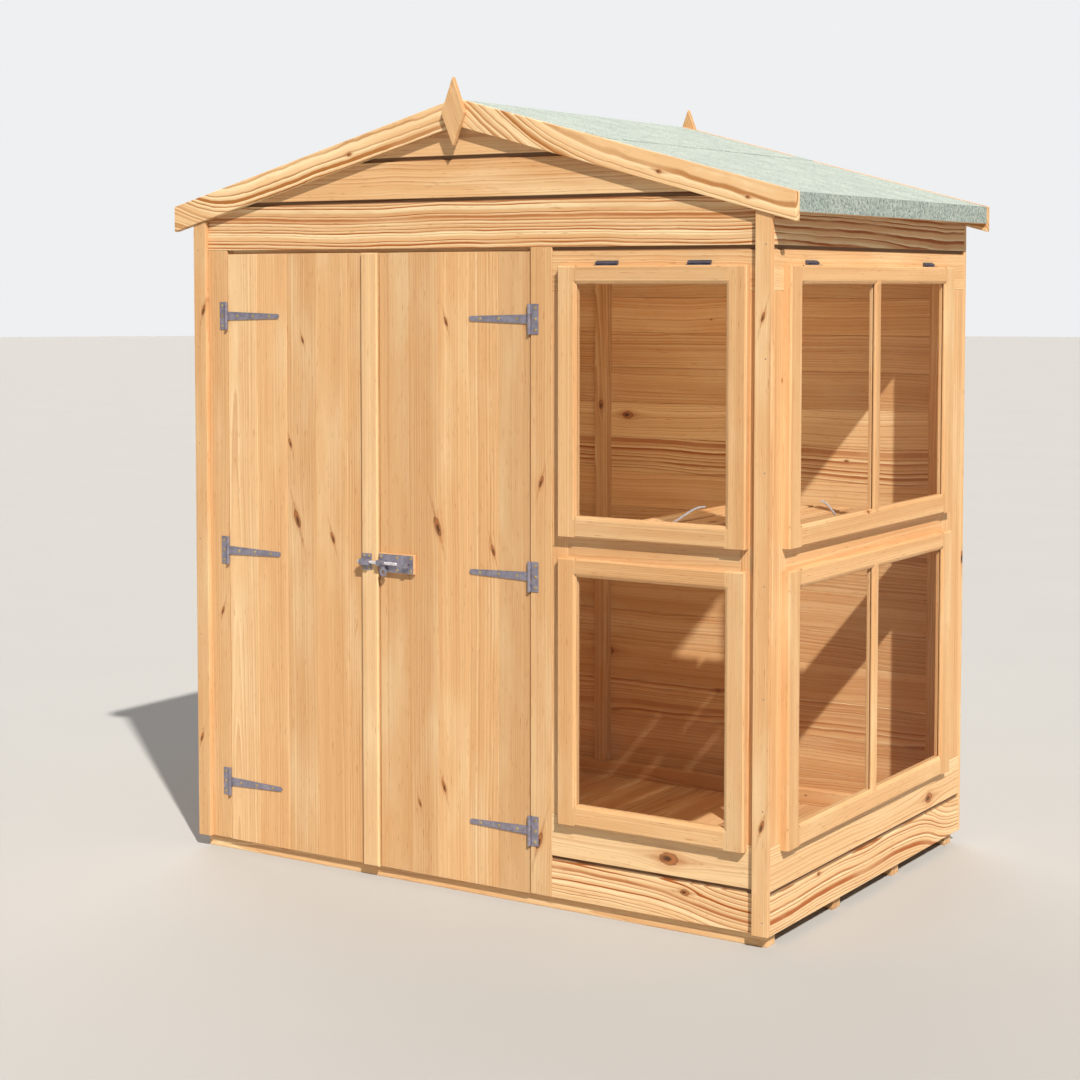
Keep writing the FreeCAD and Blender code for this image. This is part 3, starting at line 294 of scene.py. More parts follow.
doorLook = {
    **pineBase, "ringGap": 0.0085, "sway": 0.022, "ripple": 0.004, "bands": 22.0, "bandShare": 0.6,
    "earlyShare": 0.5, "lateShare": 0.4, "fadeLow": 0.2, "fibre": 0.24,
    "knotStretch": 0.4, "knotLean": 0.3, "tailLength": 8.0, "tailWidth": 0.4,
}
joineryLook = {
    **pineBase, "ringGap": 0.0055, "sway": 0.012, "ripple": 0.002, "earlyShare": 0.5, "lateShare": 0.55,
    "toneSpread": 0.06, "bands": 36.0, "bandShare": 0.9, "fibre": 0.26,
}
framingLook = {
    **pineBase, "ringGap": 0.009, "sway": 0.03, "toneSpread": 0.12, "lateShare": 0.6, "fadeLow": 0.2,
}
pine = {
    "cladding": pineMaterial("claddingPine", claddingLook),
    "barge": pineMaterial("bargePine", bargeLook),
    "doors": pineMaterial("doorPine", doorLook),
    "joinery": pineMaterial("joineryPine", joineryLook),
    "framing": pineMaterial("framingPine", framingLook),
}
print("pine ready:", len(pine), "finishes")


# mineral felt: pale granules pressed into the sheet, with painted shade darkening it where it turns down at
# the eaves
feltLook = {
    "pale": (0.5, 0.56, 0.51, 1.0), "green": (0.39, 0.455, 0.415, 1.0), "gritAndShade": (0.14, 0.175, 0.165, 1.0),
    "grain": 330.0, "cloud": {"Scale": 11.0, "Detail": 5.0, "Roughness": 0.62},
    "speck": {"Scale": 110.0, "Detail": 3.0, "Roughness": 0.7},
    "cloudRamp": (0.3, 0.7), "paleRamp": (0.45, 0.68, 0.0, 0.6), "chipRamp": (0.76, 0.92, 0.0, 0.65),
    "gritRamp": (0.46, 0.3, 0.0, 0.6), "dropShadeRamp": (0.35, 0.62, 0.7, 0.12),
    "dropFrom": 0.005, "dropFull": 0.001,
    "rough": (0.15, 0.8), "shine": 0.2, "speckRise": 1.5, "bump": {"Strength": 0.5, "Distance": 0.001},
}


def feltMaterial(look):
    material, tree, shader = newMaterial("mineralFelt")
    place = objectPlace(tree)
    distance, chip = cellsOn(tree, place, look["grain"])
    cloud, speck = noiseOn(tree, place, look["cloud"]), noiseOn(tree, place, look["speck"])
    colour = mixColour(tree, ease(tree, cloud, *look["cloudRamp"]), look["green"], look["pale"])
    colour = mixColour(tree, ease(tree, speck, *look["paleRamp"]), colour, look["pale"])
    colour = mixColour(tree, ease(tree, chip, *look["chipRamp"]), colour, look["gritAndShade"])
    colour = mixColour(tree, ease(tree, speck, *look["gritRamp"]), colour, look["gritAndShade"])
    # painted shade: the face within a few millimetres of the felt's outer edge, where it turns down, is mixed
    # towards the dark grit colour
    side = calc(tree, "ABSOLUTE", addNode(tree, "ShaderNodeSeparateXYZ", {0: place}).outputs[0])
    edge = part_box("right_felt")[1][0]
    dropShade = ease(tree, side, edge - look["dropFrom"], edge - look["dropFull"])
    dropShade = times(tree, dropShade, ease(tree, speck, *look["dropShadeRamp"]))
    height = plus(tree, distance, times(tree, speck, look["speckRise"]))
    setSockets(tree, shader, {
        "Base Color": mixColour(tree, dropShade, colour, look["gritAndShade"]),
        "Roughness": timesPlus(tree, chip, *look["rough"]), "Specular IOR Level": look["shine"],
        "Normal": bumpOf(tree, look["bump"], height),
    })
    return material


# zinc plated steel, slightly lilac, with a faint crystal pattern
metalShape = {
    "crystal": 160.0, "crystalShare": 0.35, "stainAndShade": {"Scale": 42.0, "Detail": 5.0, "Roughness": 0.65},
    "stainRamp": (0.3, 0.72, 0.0, 0.65), "stainRough": 0.25, "polish": 0.1,
    "bump": {"Strength": 0.12, "Distance": 0.0003},
}
zincLook = {"light": (0.4, 0.375, 0.45, 1.0), "dark": (0.22, 0.21, 0.27, 1.0), "metal": 0.6, "rough": 0.4}
# the bright look is a lighter zinc for the bolt rod and the stays, and partly painted highlight: its
# near-white colour stands in for the sun's white glints on them
brightHighlightLook = {"light": (0.92, 0.91, 0.95, 1.0), "dark": (0.6, 0.58, 0.66, 1.0), "metal": 0.5, "rough": 0.26}
buttLook = {"light": (0.16, 0.15, 0.2, 1.0), "dark": (0.08, 0.075, 0.1, 1.0), "metal": 0.5, "rough": 0.45}
screwLook = {"light": (0.66, 0.5, 0.22, 1.0), "dark": (0.4, 0.3, 0.14, 1.0), "metal": 0.55, "rough": 0.32}
nailLook = {"light": (0.36, 0.32, 0.28, 1.0), "dark": (0.19, 0.15, 0.12, 1.0), "metal": 0.6, "rough": 0.5}


def metalMaterial(name, look):
    material, tree, shader = newMaterial(name)
    place = objectPlace(tree)
    crystal = cellsOn(tree, place, metalShape["crystal"])[1]
    stainAndShade = noiseOn(tree, place, metalShape["stainAndShade"])
    patches = ease(tree, stainAndShade, *metalShape["stainRamp"])
    amount = timesPlus(tree, crystal, metalShape["crystalShare"], patches)
    rough = timesPlus(tree, stainAndShade, metalShape["stainRough"], look["rough"] - metalShape["polish"])
    setSockets(tree, shader, {
        "Base Color": mixColour(tree, amount, look["dark"], look["light"]), "Metallic": look["metal"],
        "Roughness": rough, "Normal": bumpOf(tree, metalShape["bump"], stainAndShade),
    })
    return material


# clear glazing with a trace of dust, thin enough for light to come in
glassLook = {
    "tint": (0.06, 0.05, 0.035, 1.0), "dust": (0.2, 0.18, 0.14, 1.0), "cover": 0.06, "bend": 1.5,
    "film": {"Scale": 5.0, "Detail": 6.0, "Roughness": 0.7},
    "filmRamp": (0.5, 0.8), "rough": (0.3, 0.8, 0.02, 0.1),
}


def glassMaterial(look):
    material, tree, shader = newMaterial("clearGlazing")
    film = noiseOn(tree, objectPlace(tree), look["film"])
    setSockets(tree, shader, {
        "Base Color": mixColour(tree, ease(tree, film, *look["filmRamp"]), look["tint"], look["dust"]),
        "Roughness": ease(tree, film, *look["rough"]), "IOR": look["bend"], "Alpha": look["cover"],
    })
    material.surface_render_method = "BLENDED"
    return material


felt = feltMaterial(feltLook)
zinc = metalMaterial("zincPlate", zincLook)
brightHighlightZinc = metalMaterial("brightHighlightZinc", brightHighlightLook)
darkZinc = metalMaterial("darkZinc", buttLook)
screwSteel = metalMaterial("yellowScrewSteel", screwLook)
nailSteel = metalMaterial("nailSteel", nailLook)
glass = glassMaterial(glassLook)
print("felt, metals and glass ready")


# objects stay at the origin, with their place in the mesh
def linkObject(name, data):
    made = bpy.data.objects.new(name, data)
    bpy.context.scene.collection.objects.link(made)
    return made


def meshOf(bm, name):
    mesh = bpy.data.meshes.new(name)
    bm.to_mesh(mesh)
    bm.free()
    return mesh


def finishMesh(bm, name, material):
    mesh = meshOf(bm, name)
    mesh.materials.append(material)
    return linkObject(name, mesh)


def addSolid(whole, bm):
    part = meshOf(bm, "part")
    whole.from_mesh(part)
    bpy.data.meshes.remove(part)


def dress(piece, node):
    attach(piece, bodyOf[node])
    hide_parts(node)
    return piece


# how edges are found and eased: lengths in metres, room and length as shares of the size of the ease
edgeRules = {
    "weld": 1e-6, "perWeld": 1e6, "flat": math.radians(0.6), "arris": math.radians(35),
    "room": 2.2, "length": 4, "round": 0.6, "straight": 0.5,
    "frontDepth": 0.0005, "probe": 0.002, "touch": 0.0006,
    "steelSmooth": math.radians(32), "headSmooth": math.radians(50),
}


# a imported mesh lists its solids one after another: each ends where every edge has met its partner
def solidsOf(node):
    mesh = nodes[node].data
    spots, corner = {}, []
    for vertex in mesh.vertices:
        key = tuple(round(c * edgeRules["perWeld"]) for c in vertex.co)
        corner.append(spots.setdefault(key, len(spots)))
    where = {index: Vector(key) * edgeRules["weld"] for key, index in spots.items()}
    solids, faces, waiting = [], [], {}
    for polygon in mesh.polygons:
        ring = [corner[i] for i in polygon.vertices]
        if len(set(ring)) < 3:
            continue
        faces.append(ring)
        for a, b in zip(ring, ring[1:] + ring[:1]):
            if waiting.get((b, a)):
                waiting[(b, a)] -= 1
                if not waiting[(b, a)]:
                    del waiting[(b, a)]
            else:
                waiting[(a, b)] = waiting.get((a, b), 0) + 1
        if not waiting:
            solids.append(faces)
            faces = []
    if faces:
        solids.append(faces)
    return where, solids


def solidMesh(where, faces):
    bm = bmesh.new()
    made = {}
    for ring in faces:
        for i in ring:
            if i not in made:
                made[i] = bm.verts.new(where[i])
        bm.faces.new([made[i] for i in ring])
    bm.normal_update()
    bmesh.ops.dissolve_limit(bm, angle_limit=edgeRules["flat"], verts=bm.verts, edges=bm.edges)
    bm.normal_update()
    return bm


def strip(face):
    return 2.0 * face.calc_area() / max(face.calc_perimeter(), 1e-9)


def isArris(edge):
    return len(edge.link_faces) == 2 and edge.is_convex and edge.calc_face_angle(0) > edgeRules["arris"]


def easeEdges(bm, edges, size, steps, profile):
    bmesh.ops.bevel(bm, geom=edges, offset=size, segments=steps, profile=profile,
                    affect="EDGES", clamp_overlap=False)
    bm.normal_update()


def cutAcross(bm, spot, along):
    bmesh.ops.bisect_plane(bm, geom=bm.verts[:] + bm.edges[:] + bm.faces[:], plane_co=spot, plane_no=along)


# ease the arrises that have room for it
def softenEdges(bm, size, steps):
    room, length = size * edgeRules["room"], size * edgeRules["length"]
    edges = [e for e in bm.edges if isArris(e) and min(strip(f) for f in e.link_faces) > room
             and e.calc_length() > length]
    if edges:
        easeEdges(bm, edges, size, steps, edgeRules["round"])


# sash members: a chamfer round the face and the panes, none where members meet
def chamferFace(bm, outward, size, others, along):
    for low, high in others:
        for level in (low.dot(along), high.dot(along)):
            cutAcross(bm, along * level, along)
    front = max(v.co.dot(outward) for v in bm.verts) - edgeRules["frontDepth"]
    touch = edgeRules["touch"]

    def within(spot, low, high):
        return all(low[i] - touch < spot[i] < high[i] + touch for i in range(3))

    def meets(edge):
        middle = (edge.verts[0].co + edge.verts[1].co) / 2
        beside = [middle + face.normal * edgeRules["probe"] for face in edge.link_faces]
        return any(within(spot, low, high) for spot in beside for low, high in others)

    edges = [e for e in bm.edges if isArris(e)
             and all(v.co.dot(outward) > front for v in e.verts) and not meets(e)]
    easeEdges(bm, edges, size, 1, edgeRules["straight"])


# a board's length, width and depth, from its longest edge and its widest face
def boardAxes(bm):
    longest = max(bm.edges, key=lambda e: e.calc_length())
    along = (longest.verts[1].co - longest.verts[0].co).normalized()
    if along[max(range(3), key=lambda i: abs(along[i]))] < 0:
        along = -along
    wide = {}
    for face in bm.faces:
        n = face.normal - along * face.normal.dot(along)
        if n.length > 0.5:
            key = tuple(round(abs(c), 1) for c in n.normalized())
            wide.setdefault(key, [0.0, n.normalized()])[0] += face.calc_area()
    deep = max(wide.values(), key=lambda row: row[0])[1]
    across = deep.cross(along).normalized()
    return along, across, deep


# how each board of a group was sawn: flat boards show arches, quarter boards straight lines
sawing = {
    "flat": {"side": (0.0, 0.03), "depth": (0.015, 0.05), "tilt": (0.0, 0.03)},
    "quarter": {"side": (0.11, 0.24), "depth": (0.0, 0.03), "tilt": (0.0, 0.02)},
}
# bends in the grain need cuts along the board; painted shade darkens where a lapped board steps back from its
# face
boardRules = {
    "start": 30, "cuts": 20, "bevel": 0.0012, "knots": 0.7,
    "thinnest": 0.001, "lapShadeRate": 2.2, "lapShadeTo": 0.85,
}
strayKnots = {
    "along": 0.48, "across": 0.45, "size": (0.12, 1.0), "radius": 0.014, "share": 0.2,
    "margin": 0.004, "none": (50.0, 50.0, 0.0),
}


# knots listed on the faces that are seen first: place on the face and radius
knotSpots = {
    "left_door_boards": [
        (-0.523, -0.595, 1.443, 0.004), (-0.568, -0.595, 1.160, 0.005), (-0.545, -0.595, 0.954, 0.010),
        (-0.422, -0.595, 0.909, 0.006), (-0.537, -0.595, 0.332, 0.006), (-0.563, -0.595, 0.248, 0.004),
    ],
    "right_door_boards": [
        (-0.046, -0.595, 1.497, 0.005), (-0.074, -0.595, 0.961, 0.010), (0.101, -0.595, 0.910, 0.006),
        (-0.055, -0.595, 0.275, 0.006), (-0.134, -0.595, 0.221, 0.004),
    ],
    "front_cladding": [(0.622, -0.595, 0.182, 0.016), (0.667, -0.595, 0.105, 0.008)],
    "corner_strips": [
        (-0.865, -0.609, 1.522, 0.006), (-0.885, -0.609, 0.313, 0.005),
        (0.878, -0.609, 1.517, 0.005), (0.882, -0.609, 0.301, 0.006),
    ],
    "front_bargeboards": [
        (-0.344, -0.615, 1.937, 0.005), (0.598, -0.615, 1.866, 0.005), (0.839, -0.615, 1.799, 0.004),
    ],
    "right_cladding": [(0.9, 0.378, 0.172, 0.014), (0.9, -0.327, 0.124, 0.005)],
    "back_cladding": [(-0.19, 0.583, 1.189, 0.012), (-0.26, 0.583, 0.447, 0.013)],
}


# a board takes up to as many knots as there are layers: the listed ones, or else stray ones
def knotsFor(node, bm, rng, perMetre, along, across, middle):
    most = len(knotLayers)
    low = [min(v.co[i] for v in bm.verts) - strayKnots["margin"] for i in range(3)]
    high = [max(v.co[i] for v in bm.verts) + strayKnots["margin"] for i in range(3)]
    placed = [spot for spot in knotSpots.get(node, []) if all(low[i] < spot[i] < high[i] for i in range(3))]
    knots = []
    for x, y, z, radius in placed[:most]:
        spot = Vector((x, y, z)) - middle
        knots.append((spot.dot(along), spot.dot(across), radius))
    length = max((v.co - middle).dot(along) for v in bm.verts) * 2
    width = max((v.co - middle).dot(across) for v in bm.verts) * 2
    if not knots:
        for _ in range(most):
            x = rng.uniform(-strayKnots["along"], strayKnots["along"]) * length
            y = rng.uniform(-strayKnots["across"], strayKnots["across"]) * width
            radius = min(strayKnots["radius"] * rng.uniform(*strayKnots["size"]), width * strayKnots["share"])
            if rng.random() < perMetre * length / most:
                knots.append((x, y, radius))
    return knots + [strayKnots["none"]] * (most - len(knots))


def boardValues(node, plan, middle, rng):
    sawn = sawing[plan["cut"]]
    value = {key: rng.uniform(*sawn[key]) * rng.choice((-1, 1)) for key in ("side", "depth", "tilt")}
    value.update(figure=rng.uniform(*plan["figure"]), tone=rng.uniform(-1, 1))
    value.update(start=rng.uniform(0, boardRules["start"]), seed=rng.random())
    for rule in boardNotes.get(node, []):
        if rule["from"] < middle[rule["axis"]] < rule["to"]:
            value.update(rule["set"])
    return value


# what the pine reads at each corner: place in the log, tone and figure, distance to the knots, painted lap
# shade
def markGrain(bm, plan, value, axes, middle, knots):
    grainLayer = bm.verts.layers.float_vector.new("grain")
    boardLayer = bm.verts.layers.float_vector.new("board")
    lapShadeLayer = bm.verts.layers.float.new("lapShade")
    spots = [bm.verts.layers.float_vector.new(name) for name in knotLayers]
    outward = Vector(plan.get("out", (0.0, 0.0, 0.0)))
    levels = [v.co.dot(outward) for v in bm.verts]
    face = max(levels)
    thick = max(face - min(levels), boardRules["thinnest"])
    for v in bm.verts:
        x, y, z = ((v.co - middle).dot(axis) for axis in axes)
        for layer, (knotX, knotY, radius) in zip(spots, knots):
            v[layer] = (x - knotX, y - knotY, radius)
        for spot, spread, lift in value.get("flames", ()):
            z += lift * math.tanh((x - spot) / spread)
        for spot, spread, lift in value.get("slants", ()):
            y += lift * math.tanh((x - spot) / spread)
        v[grainLayer] = (x + value["start"], y - value["side"], z - value["depth"] + value["tilt"] * x)
        v[boardLayer] = (value["tone"], value["figure"], value["seed"])
        # painted shade: on cladding, a corner is marked darker the deeper it sits behind the board's face
        depth = (face - v.co.dot(outward)) / thick
        lapShaded = plan["finish"] == "cladding" and depth < boardRules["lapShadeTo"]
        v[lapShadeLayer] = min(depth * boardRules["lapShadeRate"], 1.0) if lapShaded else 0.0


def boardPiece(node, plan, rng):
    where, solids = solidsOf(node)
    whole = bmesh.new()
    for faces in solids:
        bm = solidMesh(where, faces)
        axes = boardAxes(bm)
        along, across = axes[:2]
        middle = sum((v.co for v in bm.verts), Vector()) / len(bm.verts)
        value = boardValues(node, plan, middle, rng)
        if "flames" in value or "slants" in value:
            reach = max((v.co - middle).dot(along) for v in bm.verts)
            for step in range(1, 2 * boardRules["cuts"]):
                cutAcross(bm, middle + along * reach * (step / boardRules["cuts"] - 1.0), along)
        knots = knotsFor(node, bm, rng, plan.get("knots", boardRules["knots"]), along, across, middle)
        if "chamfer" in plan:
            spans = [[where[i] for ring in other for i in ring] for other in solids if other is not faces]
            others = [(Vector(map(min, zip(*span))), Vector(map(max, zip(*span)))) for span in spans]
            chamferFace(bm, Vector(plan["out"]), plan["chamfer"], others, along)
        else:
            softenEdges(bm, plan.get("bevel", boardRules["bevel"]), 1)
        markGrain(bm, plan, value, axes, middle, knots)
        addSolid(whole, bm)
    finish = plan["finish"]
    return dress(finishMesh(whole, node + "_boards", pine[finish]), node)


# every timber group: finish, how it was sawn, how bold its figure is, knots in each metre
surroundPlan = {"finish": "cladding", "cut": "quarter", "figure": (0.2, 0.35), "knots": 0.2}
postPlan = {"finish": "doors", "cut": "quarter", "figure": (0.4, 0.6), "knots": 0.4}
doorPlan = {"finish": "doors", "cut": "quarter", "figure": (0.3, 0.8), "knots": 0.0}
sashPlan = {"finish": "joinery", "chamfer": 0.004, "cut": "quarter", "figure": (0.3, 0.5), "knots": 0.1}
beadPlan = {"finish": "joinery", "cut": "quarter", "figure": (0.2, 0.4), "knots": 0.0}
stripPlan = {"finish": "joinery", "cut": "quarter", "figure": (0.3, 0.4), "knots": 0.0}
framePlan = {"finish": "framing", "cut": "flat", "figure": (0.4, 0.8)}
ledgePlan = {**framePlan, "figure": (0.5, 0.8)}
panelPlan = {**framePlan, "figure": (0.3, 0.5)}
bargePlan = {"finish": "barge", "slot": "cladding", "cut": "flat"}
lapPlan = {"finish": "cladding", "cut": "flat", "knots": 0.0}
hiddenLapPlan = {"finish": "cladding", "cut": "quarter"}
timber = {
    "front_cladding": {**lapPlan, "out": (0, -1, 0), "figure": (0.3, 0.5)},
    "right_cladding": {**lapPlan, "out": (1, 0, 0), "figure": (0.5, 0.9)},
    "left_cladding": {**hiddenLapPlan, "out": (-1, 0, 0), "figure": (0.15, 0.7), "knots": 0.4},
    "back_cladding": {**hiddenLapPlan, "out": (0, 1, 0), "figure": (0.15, 0.6), "knots": 0.3},
    "front_window_surround": surroundPlan,
    "right_window_surround": surroundPlan,
    "left_door_post": postPlan,
    "right_door_post": postPlan,
    "corner_strips": postPlan,
    "front_bargeboards": {**bargePlan, "figure": (0.95, 1.0), "knots": 0.0},
    "rear_bargeboards": {**bargePlan, "figure": (0.8, 1.0)},
    "finials": {"finish": "joinery", "cut": "flat", "figure": (0.5, 0.6), "knots": 0.0},
    "left_door_boards": doorPlan,
    "right_door_boards": doorPlan,
    "door_cover_strip": {**stripPlan, "bevel": 0.0028},
    "left_door_ledges": ledgePlan,
    "right_door_ledges": ledgePlan,
    "front_upper_sash": {**sashPlan, "out": (0, -1, 0)},
    "front_lower_sash": {**sashPlan, "out": (0, -1, 0)},
    "right_upper_sash": {**sashPlan, "out": (1, 0, 0)},
    "right_lower_sash": {**sashPlan, "out": (1, 0, 0)},
    "front_upper_beads": beadPlan,
    "right_upper_beads": beadPlan,
    "lower_beads": beadPlan,
    "front_wall_frame": framePlan,
    "right_wall_frame": framePlan,
    "left_wall_frame": framePlan,
    "back_wall_frame": framePlan,
    "roof_battens": framePlan,
    "left_roof_panel": panelPlan,
    "right_roof_panel": panelPlan,
    "floor_bearers": {**framePlan, "knots": 0.1},
    "floor_boards": {**framePlan, "figure": (0.4, 0.9)},
    "bench_slats": {**framePlan, "figure": (0.5, 0.8)},
    "bench_supports": framePlan,
    "bolt_packer": stripPlan,
}


# single boards that stand out on the faces seen first: those whose middle lies in the span on the axis
def note(axis, start, end, **values):
    return {"axis": axis, "from": start, "to": end, "set": values}


boardNotes = {
    "front_cladding": [
        note(2, 1.69, 1.80, figure=1.5, tone=0.3, side=0.16, depth=0.03, tilt=0.004),
        note(2, 1.5, 1.69, figure=0.35, tone=0.4, side=0.13, depth=0.02),
        note(2, 1.81, 1.92, figure=0.35, tone=0.6, side=0.12),
        note(2, 1.93, 2.10, figure=0.3, tone=0.3, side=0.12),
        note(2, 0.0, 0.13, figure=1.3, tone=1.15, side=0.08, depth=0.05, tilt=0.02,
             flames=((0.12, 0.06, 0.016),), slants=((0.1, 0.12, 0.02),)),
        note(2, 0.14, 0.25, figure=0.25, tone=1.35, side=0.12),
    ],
    "right_cladding": [
        note(2, 0.0, 0.13, figure=1.1, tone=1.2, side=0.08, depth=0.05, tilt=0.01,
             flames=((0.45, 0.06, 0.02),), slants=((0.4, 0.15, 0.03),)),
        note(2, 0.14, 0.25, figure=0.5, tone=1.2, side=0.09),
        note(2, 1.5, 1.69, figure=0.25, side=0.12),
        note(2, 1.7, 1.80, figure=1.4, side=0.06, depth=0.04),
    ],
    "left_door_boards": [note(0, -0.79, -0.69, figure=0.95, tone=1.18, side=-0.05, depth=0.02)],
    "door_cover_strip": [note(0, -1.0, 1.0, tone=1.2)],
    "front_bargeboards": [
        note(0, 0.0, 1.0, figure=1.3, tone=1.1, side=0.12, depth=0.03, tilt=0.0,
             slants=((-0.38, 0.22, 0.1),)),
        note(0, -1.0, 0.0, figure=1.3, tone=1.1, side=0.12, depth=0.03, tilt=0.0,
             slants=((-0.44, 0.12, 0.08),)),
    ],
    "back_cladding": [
        note(2, 1.11, 1.22, figure=0.5, tone=1.3, side=0.1, depth=0.03),
        note(2, 1.0, 1.11, figure=1.2, tone=0.2, side=0.1, depth=0.04),
        note(2, 0.25, 0.36, figure=0.8, side=0.06, depth=0.05),
    ],
}
rng = random.Random(41)
for node, plan in timber.items():
    boardPiece(node, plan, rng)
print("timber pieces:", len(timber))


# steel pieces with eased edges and smooth curves
def metalPiece(node, material, bevel):
    where, solids = solidsOf(node)
    whole = bmesh.new()
    for faces in solids:
        bm = solidMesh(where, faces)
        softenEdges(bm, bevel, 2)
        addSolid(whole, bm)
    for face in whole.faces:
        face.smooth = True
    for edge in whole.edges:
        edge.smooth = edge.calc_face_angle(0.0) < edgeRules["steelSmooth"]
    return dress(finishMesh(whole, node + "_steel", material), node)


# finish and size of the eased edge
steelPieces = {
    "hinge_plates": (zinc, 0.0006), "left_hinge_straps": (zinc, 0.0006), "right_hinge_straps": (zinc, 0.0006),
    "hinge_pins": (zinc, 0.0005), "bolt_plate": (zinc, 0.0007), "bolt_keeper": (zinc, 0.0006),
    "bolt_rod": (brightHighlightZinc, 0.0006), "bolt_handle": (zinc, 0.0006), "sash_hinge_leaves": (darkZinc, 0.0004),
    "front_sash_hardware": (darkZinc, 0.0004), "right_sash_hardware": (darkZinc, 0.0004),
    "front_stay": (brightHighlightZinc, 0.0006), "right_stay": (brightHighlightZinc, 0.0006), "stay_pegs": (zinc, 0.0005),
}
for node, (material, bevel) in steelPieces.items():
    metalPiece(node, material, bevel)
print("steel pieces:", len(steelPieces))


# glass and felt keep their shape and take a finish
finishes = {
    "glass": (glass, ["front_upper_glass", "front_lower_glass", "right_upper_glass", "right_lower_glass"]),
    "felt": (felt, ["left_felt", "right_felt", "ridge_felt"]),
}
for material, members in finishes.values():
    for node in members:
        for slot in nodes[node].material_slots:
            slot.material = material
print("glass and felt finished")


def named(tree, name, kind):
    return addNode(tree, "GeometryNodeInputNamedAttribute", {"Name": name}, data_type=kind).outputs[0]


# repeats: one tree sets a head on every point of every row, facing the way the row faces
def repeatTree(name):
    tree = bpy.data.node_groups.new(name, "GeometryNodeTree")
    sockets = [("Rows", "INPUT", "Geometry"), ("Head", "INPUT", "Object"), ("Size", "INPUT", "Float"),
               ("Seed", "INPUT", "Int"), ("Finish", "INPUT", "Material"), ("Heads", "OUTPUT", "Geometry")]
    for label, way, kind in sockets:
        tree.interface.new_socket(label, in_out=way, socket_type="NodeSocket" + kind)
    given = addNode(tree, "NodeGroupInput").outputs
    amount, facing = named(tree, "amount", "INT"), named(tree, "facing", "FLOAT_VECTOR")
    rows = addNode(tree, "GeometryNodeMeshToCurve", {0: given["Rows"]}).outputs[0]
    spaced = {"Curve": rows, "Count": amount}
    points = addNode(tree, "GeometryNodeResampleCurve", spaced, mode="COUNT").outputs[0]
    aim = addNode(tree, "FunctionNodeAlignRotationToVector", {"Vector": facing}, axis="Z").outputs[0]
    anyTurn = {0: (0.0, 0.0, 0.0), 1: (0.0, 0.0, 6.2), "Seed": given["Seed"]}
    twist = addNode(tree, "FunctionNodeRandomValue", anyTurn, data_type="FLOAT_VECTOR").outputs[0]
    spin = addNode(tree, "FunctionNodeEulerToRotation", {0: twist}).outputs[0]
    turned = addNode(tree, "FunctionNodeRotateRotation", {0: aim, 1: spin}, rotation_space="LOCAL").outputs[0]
    head = addNode(tree, "GeometryNodeObjectInfo", {"Object": given["Head"]}).outputs["Geometry"]
    setting = {"Points": points, "Instance": head, "Rotation": turned, "Scale": given["Size"]}
    placed = addNode(tree, "GeometryNodeInstanceOnPoints", setting).outputs[0]
    real = addNode(tree, "GeometryNodeRealizeInstances", {0: placed}).outputs[0]
    dressed = addNode(tree, "GeometryNodeSetMaterial", {"Geometry": real, "Material": given["Finish"]})
    addNode(tree, "NodeGroupOutput", {0: dressed.outputs[0]})
    return tree


# a head is turned from rings of (radius, height); the last ring is filled, round a cross slot if it has one
screwShape = {"rings": [(1.0, -0.75), (1.0, -0.18), (0.9, -0.05), (0.74, 0.0)], "sides": 20,
              "slot": {"half": 0.13, "length": 0.52, "depth": 0.34, "taper": 0.8}}
nailShape = {"rings": [(1.0, -0.3), (1.0, 0.1), (0.6, 0.28)], "sides": 8}


def fillSlotted(bm, rim, top, slot):
    half, length = slot["half"], slot["length"]
    cross = [(half, half), (half, length), (-half, length), (-half, half), (-length, half), (-length, -half)]
    cross += [(-x, -y) for x, y in cross]
    edge = [bm.verts.new((x, y, top)) for x, y in cross]
    base = [bm.verts.new((x * slot["taper"], y * slot["taper"], top - slot["depth"])) for x, y in cross]
    count = len(cross)
    for i in range(count):
        bm.faces.new((edge[i], base[i], base[(i + 1) % count], edge[(i + 1) % count]))
    bm.faces.new(base[::-1])
    edges = [bm.edges.get((ring[i], ring[(i + 1) % len(ring)]))
             for ring in (rim, edge) for i in range(len(ring))]
    bmesh.ops.triangle_fill(bm, use_beauty=True, edges=edges, normal=(0, 0, 1))


def headObject(name, shape):
    bm = bmesh.new()
    sides = shape["sides"]
    angles = [i * math.tau / sides for i in range(sides)]
    loops = [[bm.verts.new((radius * math.cos(a), radius * math.sin(a), height)) for a in angles]
             for radius, height in shape["rings"]]
    for low, high in zip(loops, loops[1:]):
        for i in range(sides):
            bm.faces.new((low[i], low[(i + 1) % sides], high[(i + 1) % sides], high[i]))
    if "slot" in shape:
        fillSlotted(bm, loops[-1], shape["rings"][-1][1], shape["slot"])
    else:
        bm.faces.new(loops[-1])
    bmesh.ops.recalc_face_normals(bm, faces=bm.faces)
    for face in bm.faces:
        face.smooth = True
    for edge in bm.edges:
        edge.smooth = not edge.is_boundary and edge.calc_face_angle(0.0) < edgeRules["headSmooth"]
    return linkObject(name, meshOf(bm, name))


def rowObject(name, rows):
    mesh = bpy.data.meshes.new(name)
    points = [point for row in rows for point in (row["from"], row["to"])]
    mesh.from_pydata(points, [(2 * i, 2 * i + 1) for i in range(len(rows))], [])
    amounts = mesh.attributes.new("amount", "INT", "POINT")
    facings = mesh.attributes.new("facing", "FLOAT_VECTOR", "POINT")
    for i, row in enumerate(rows):
        for end in (2 * i, 2 * i + 1):
            amounts.data[end].value = row["amount"]
            facings.data[end].vector = row["facing"]
    return linkObject(name, mesh)


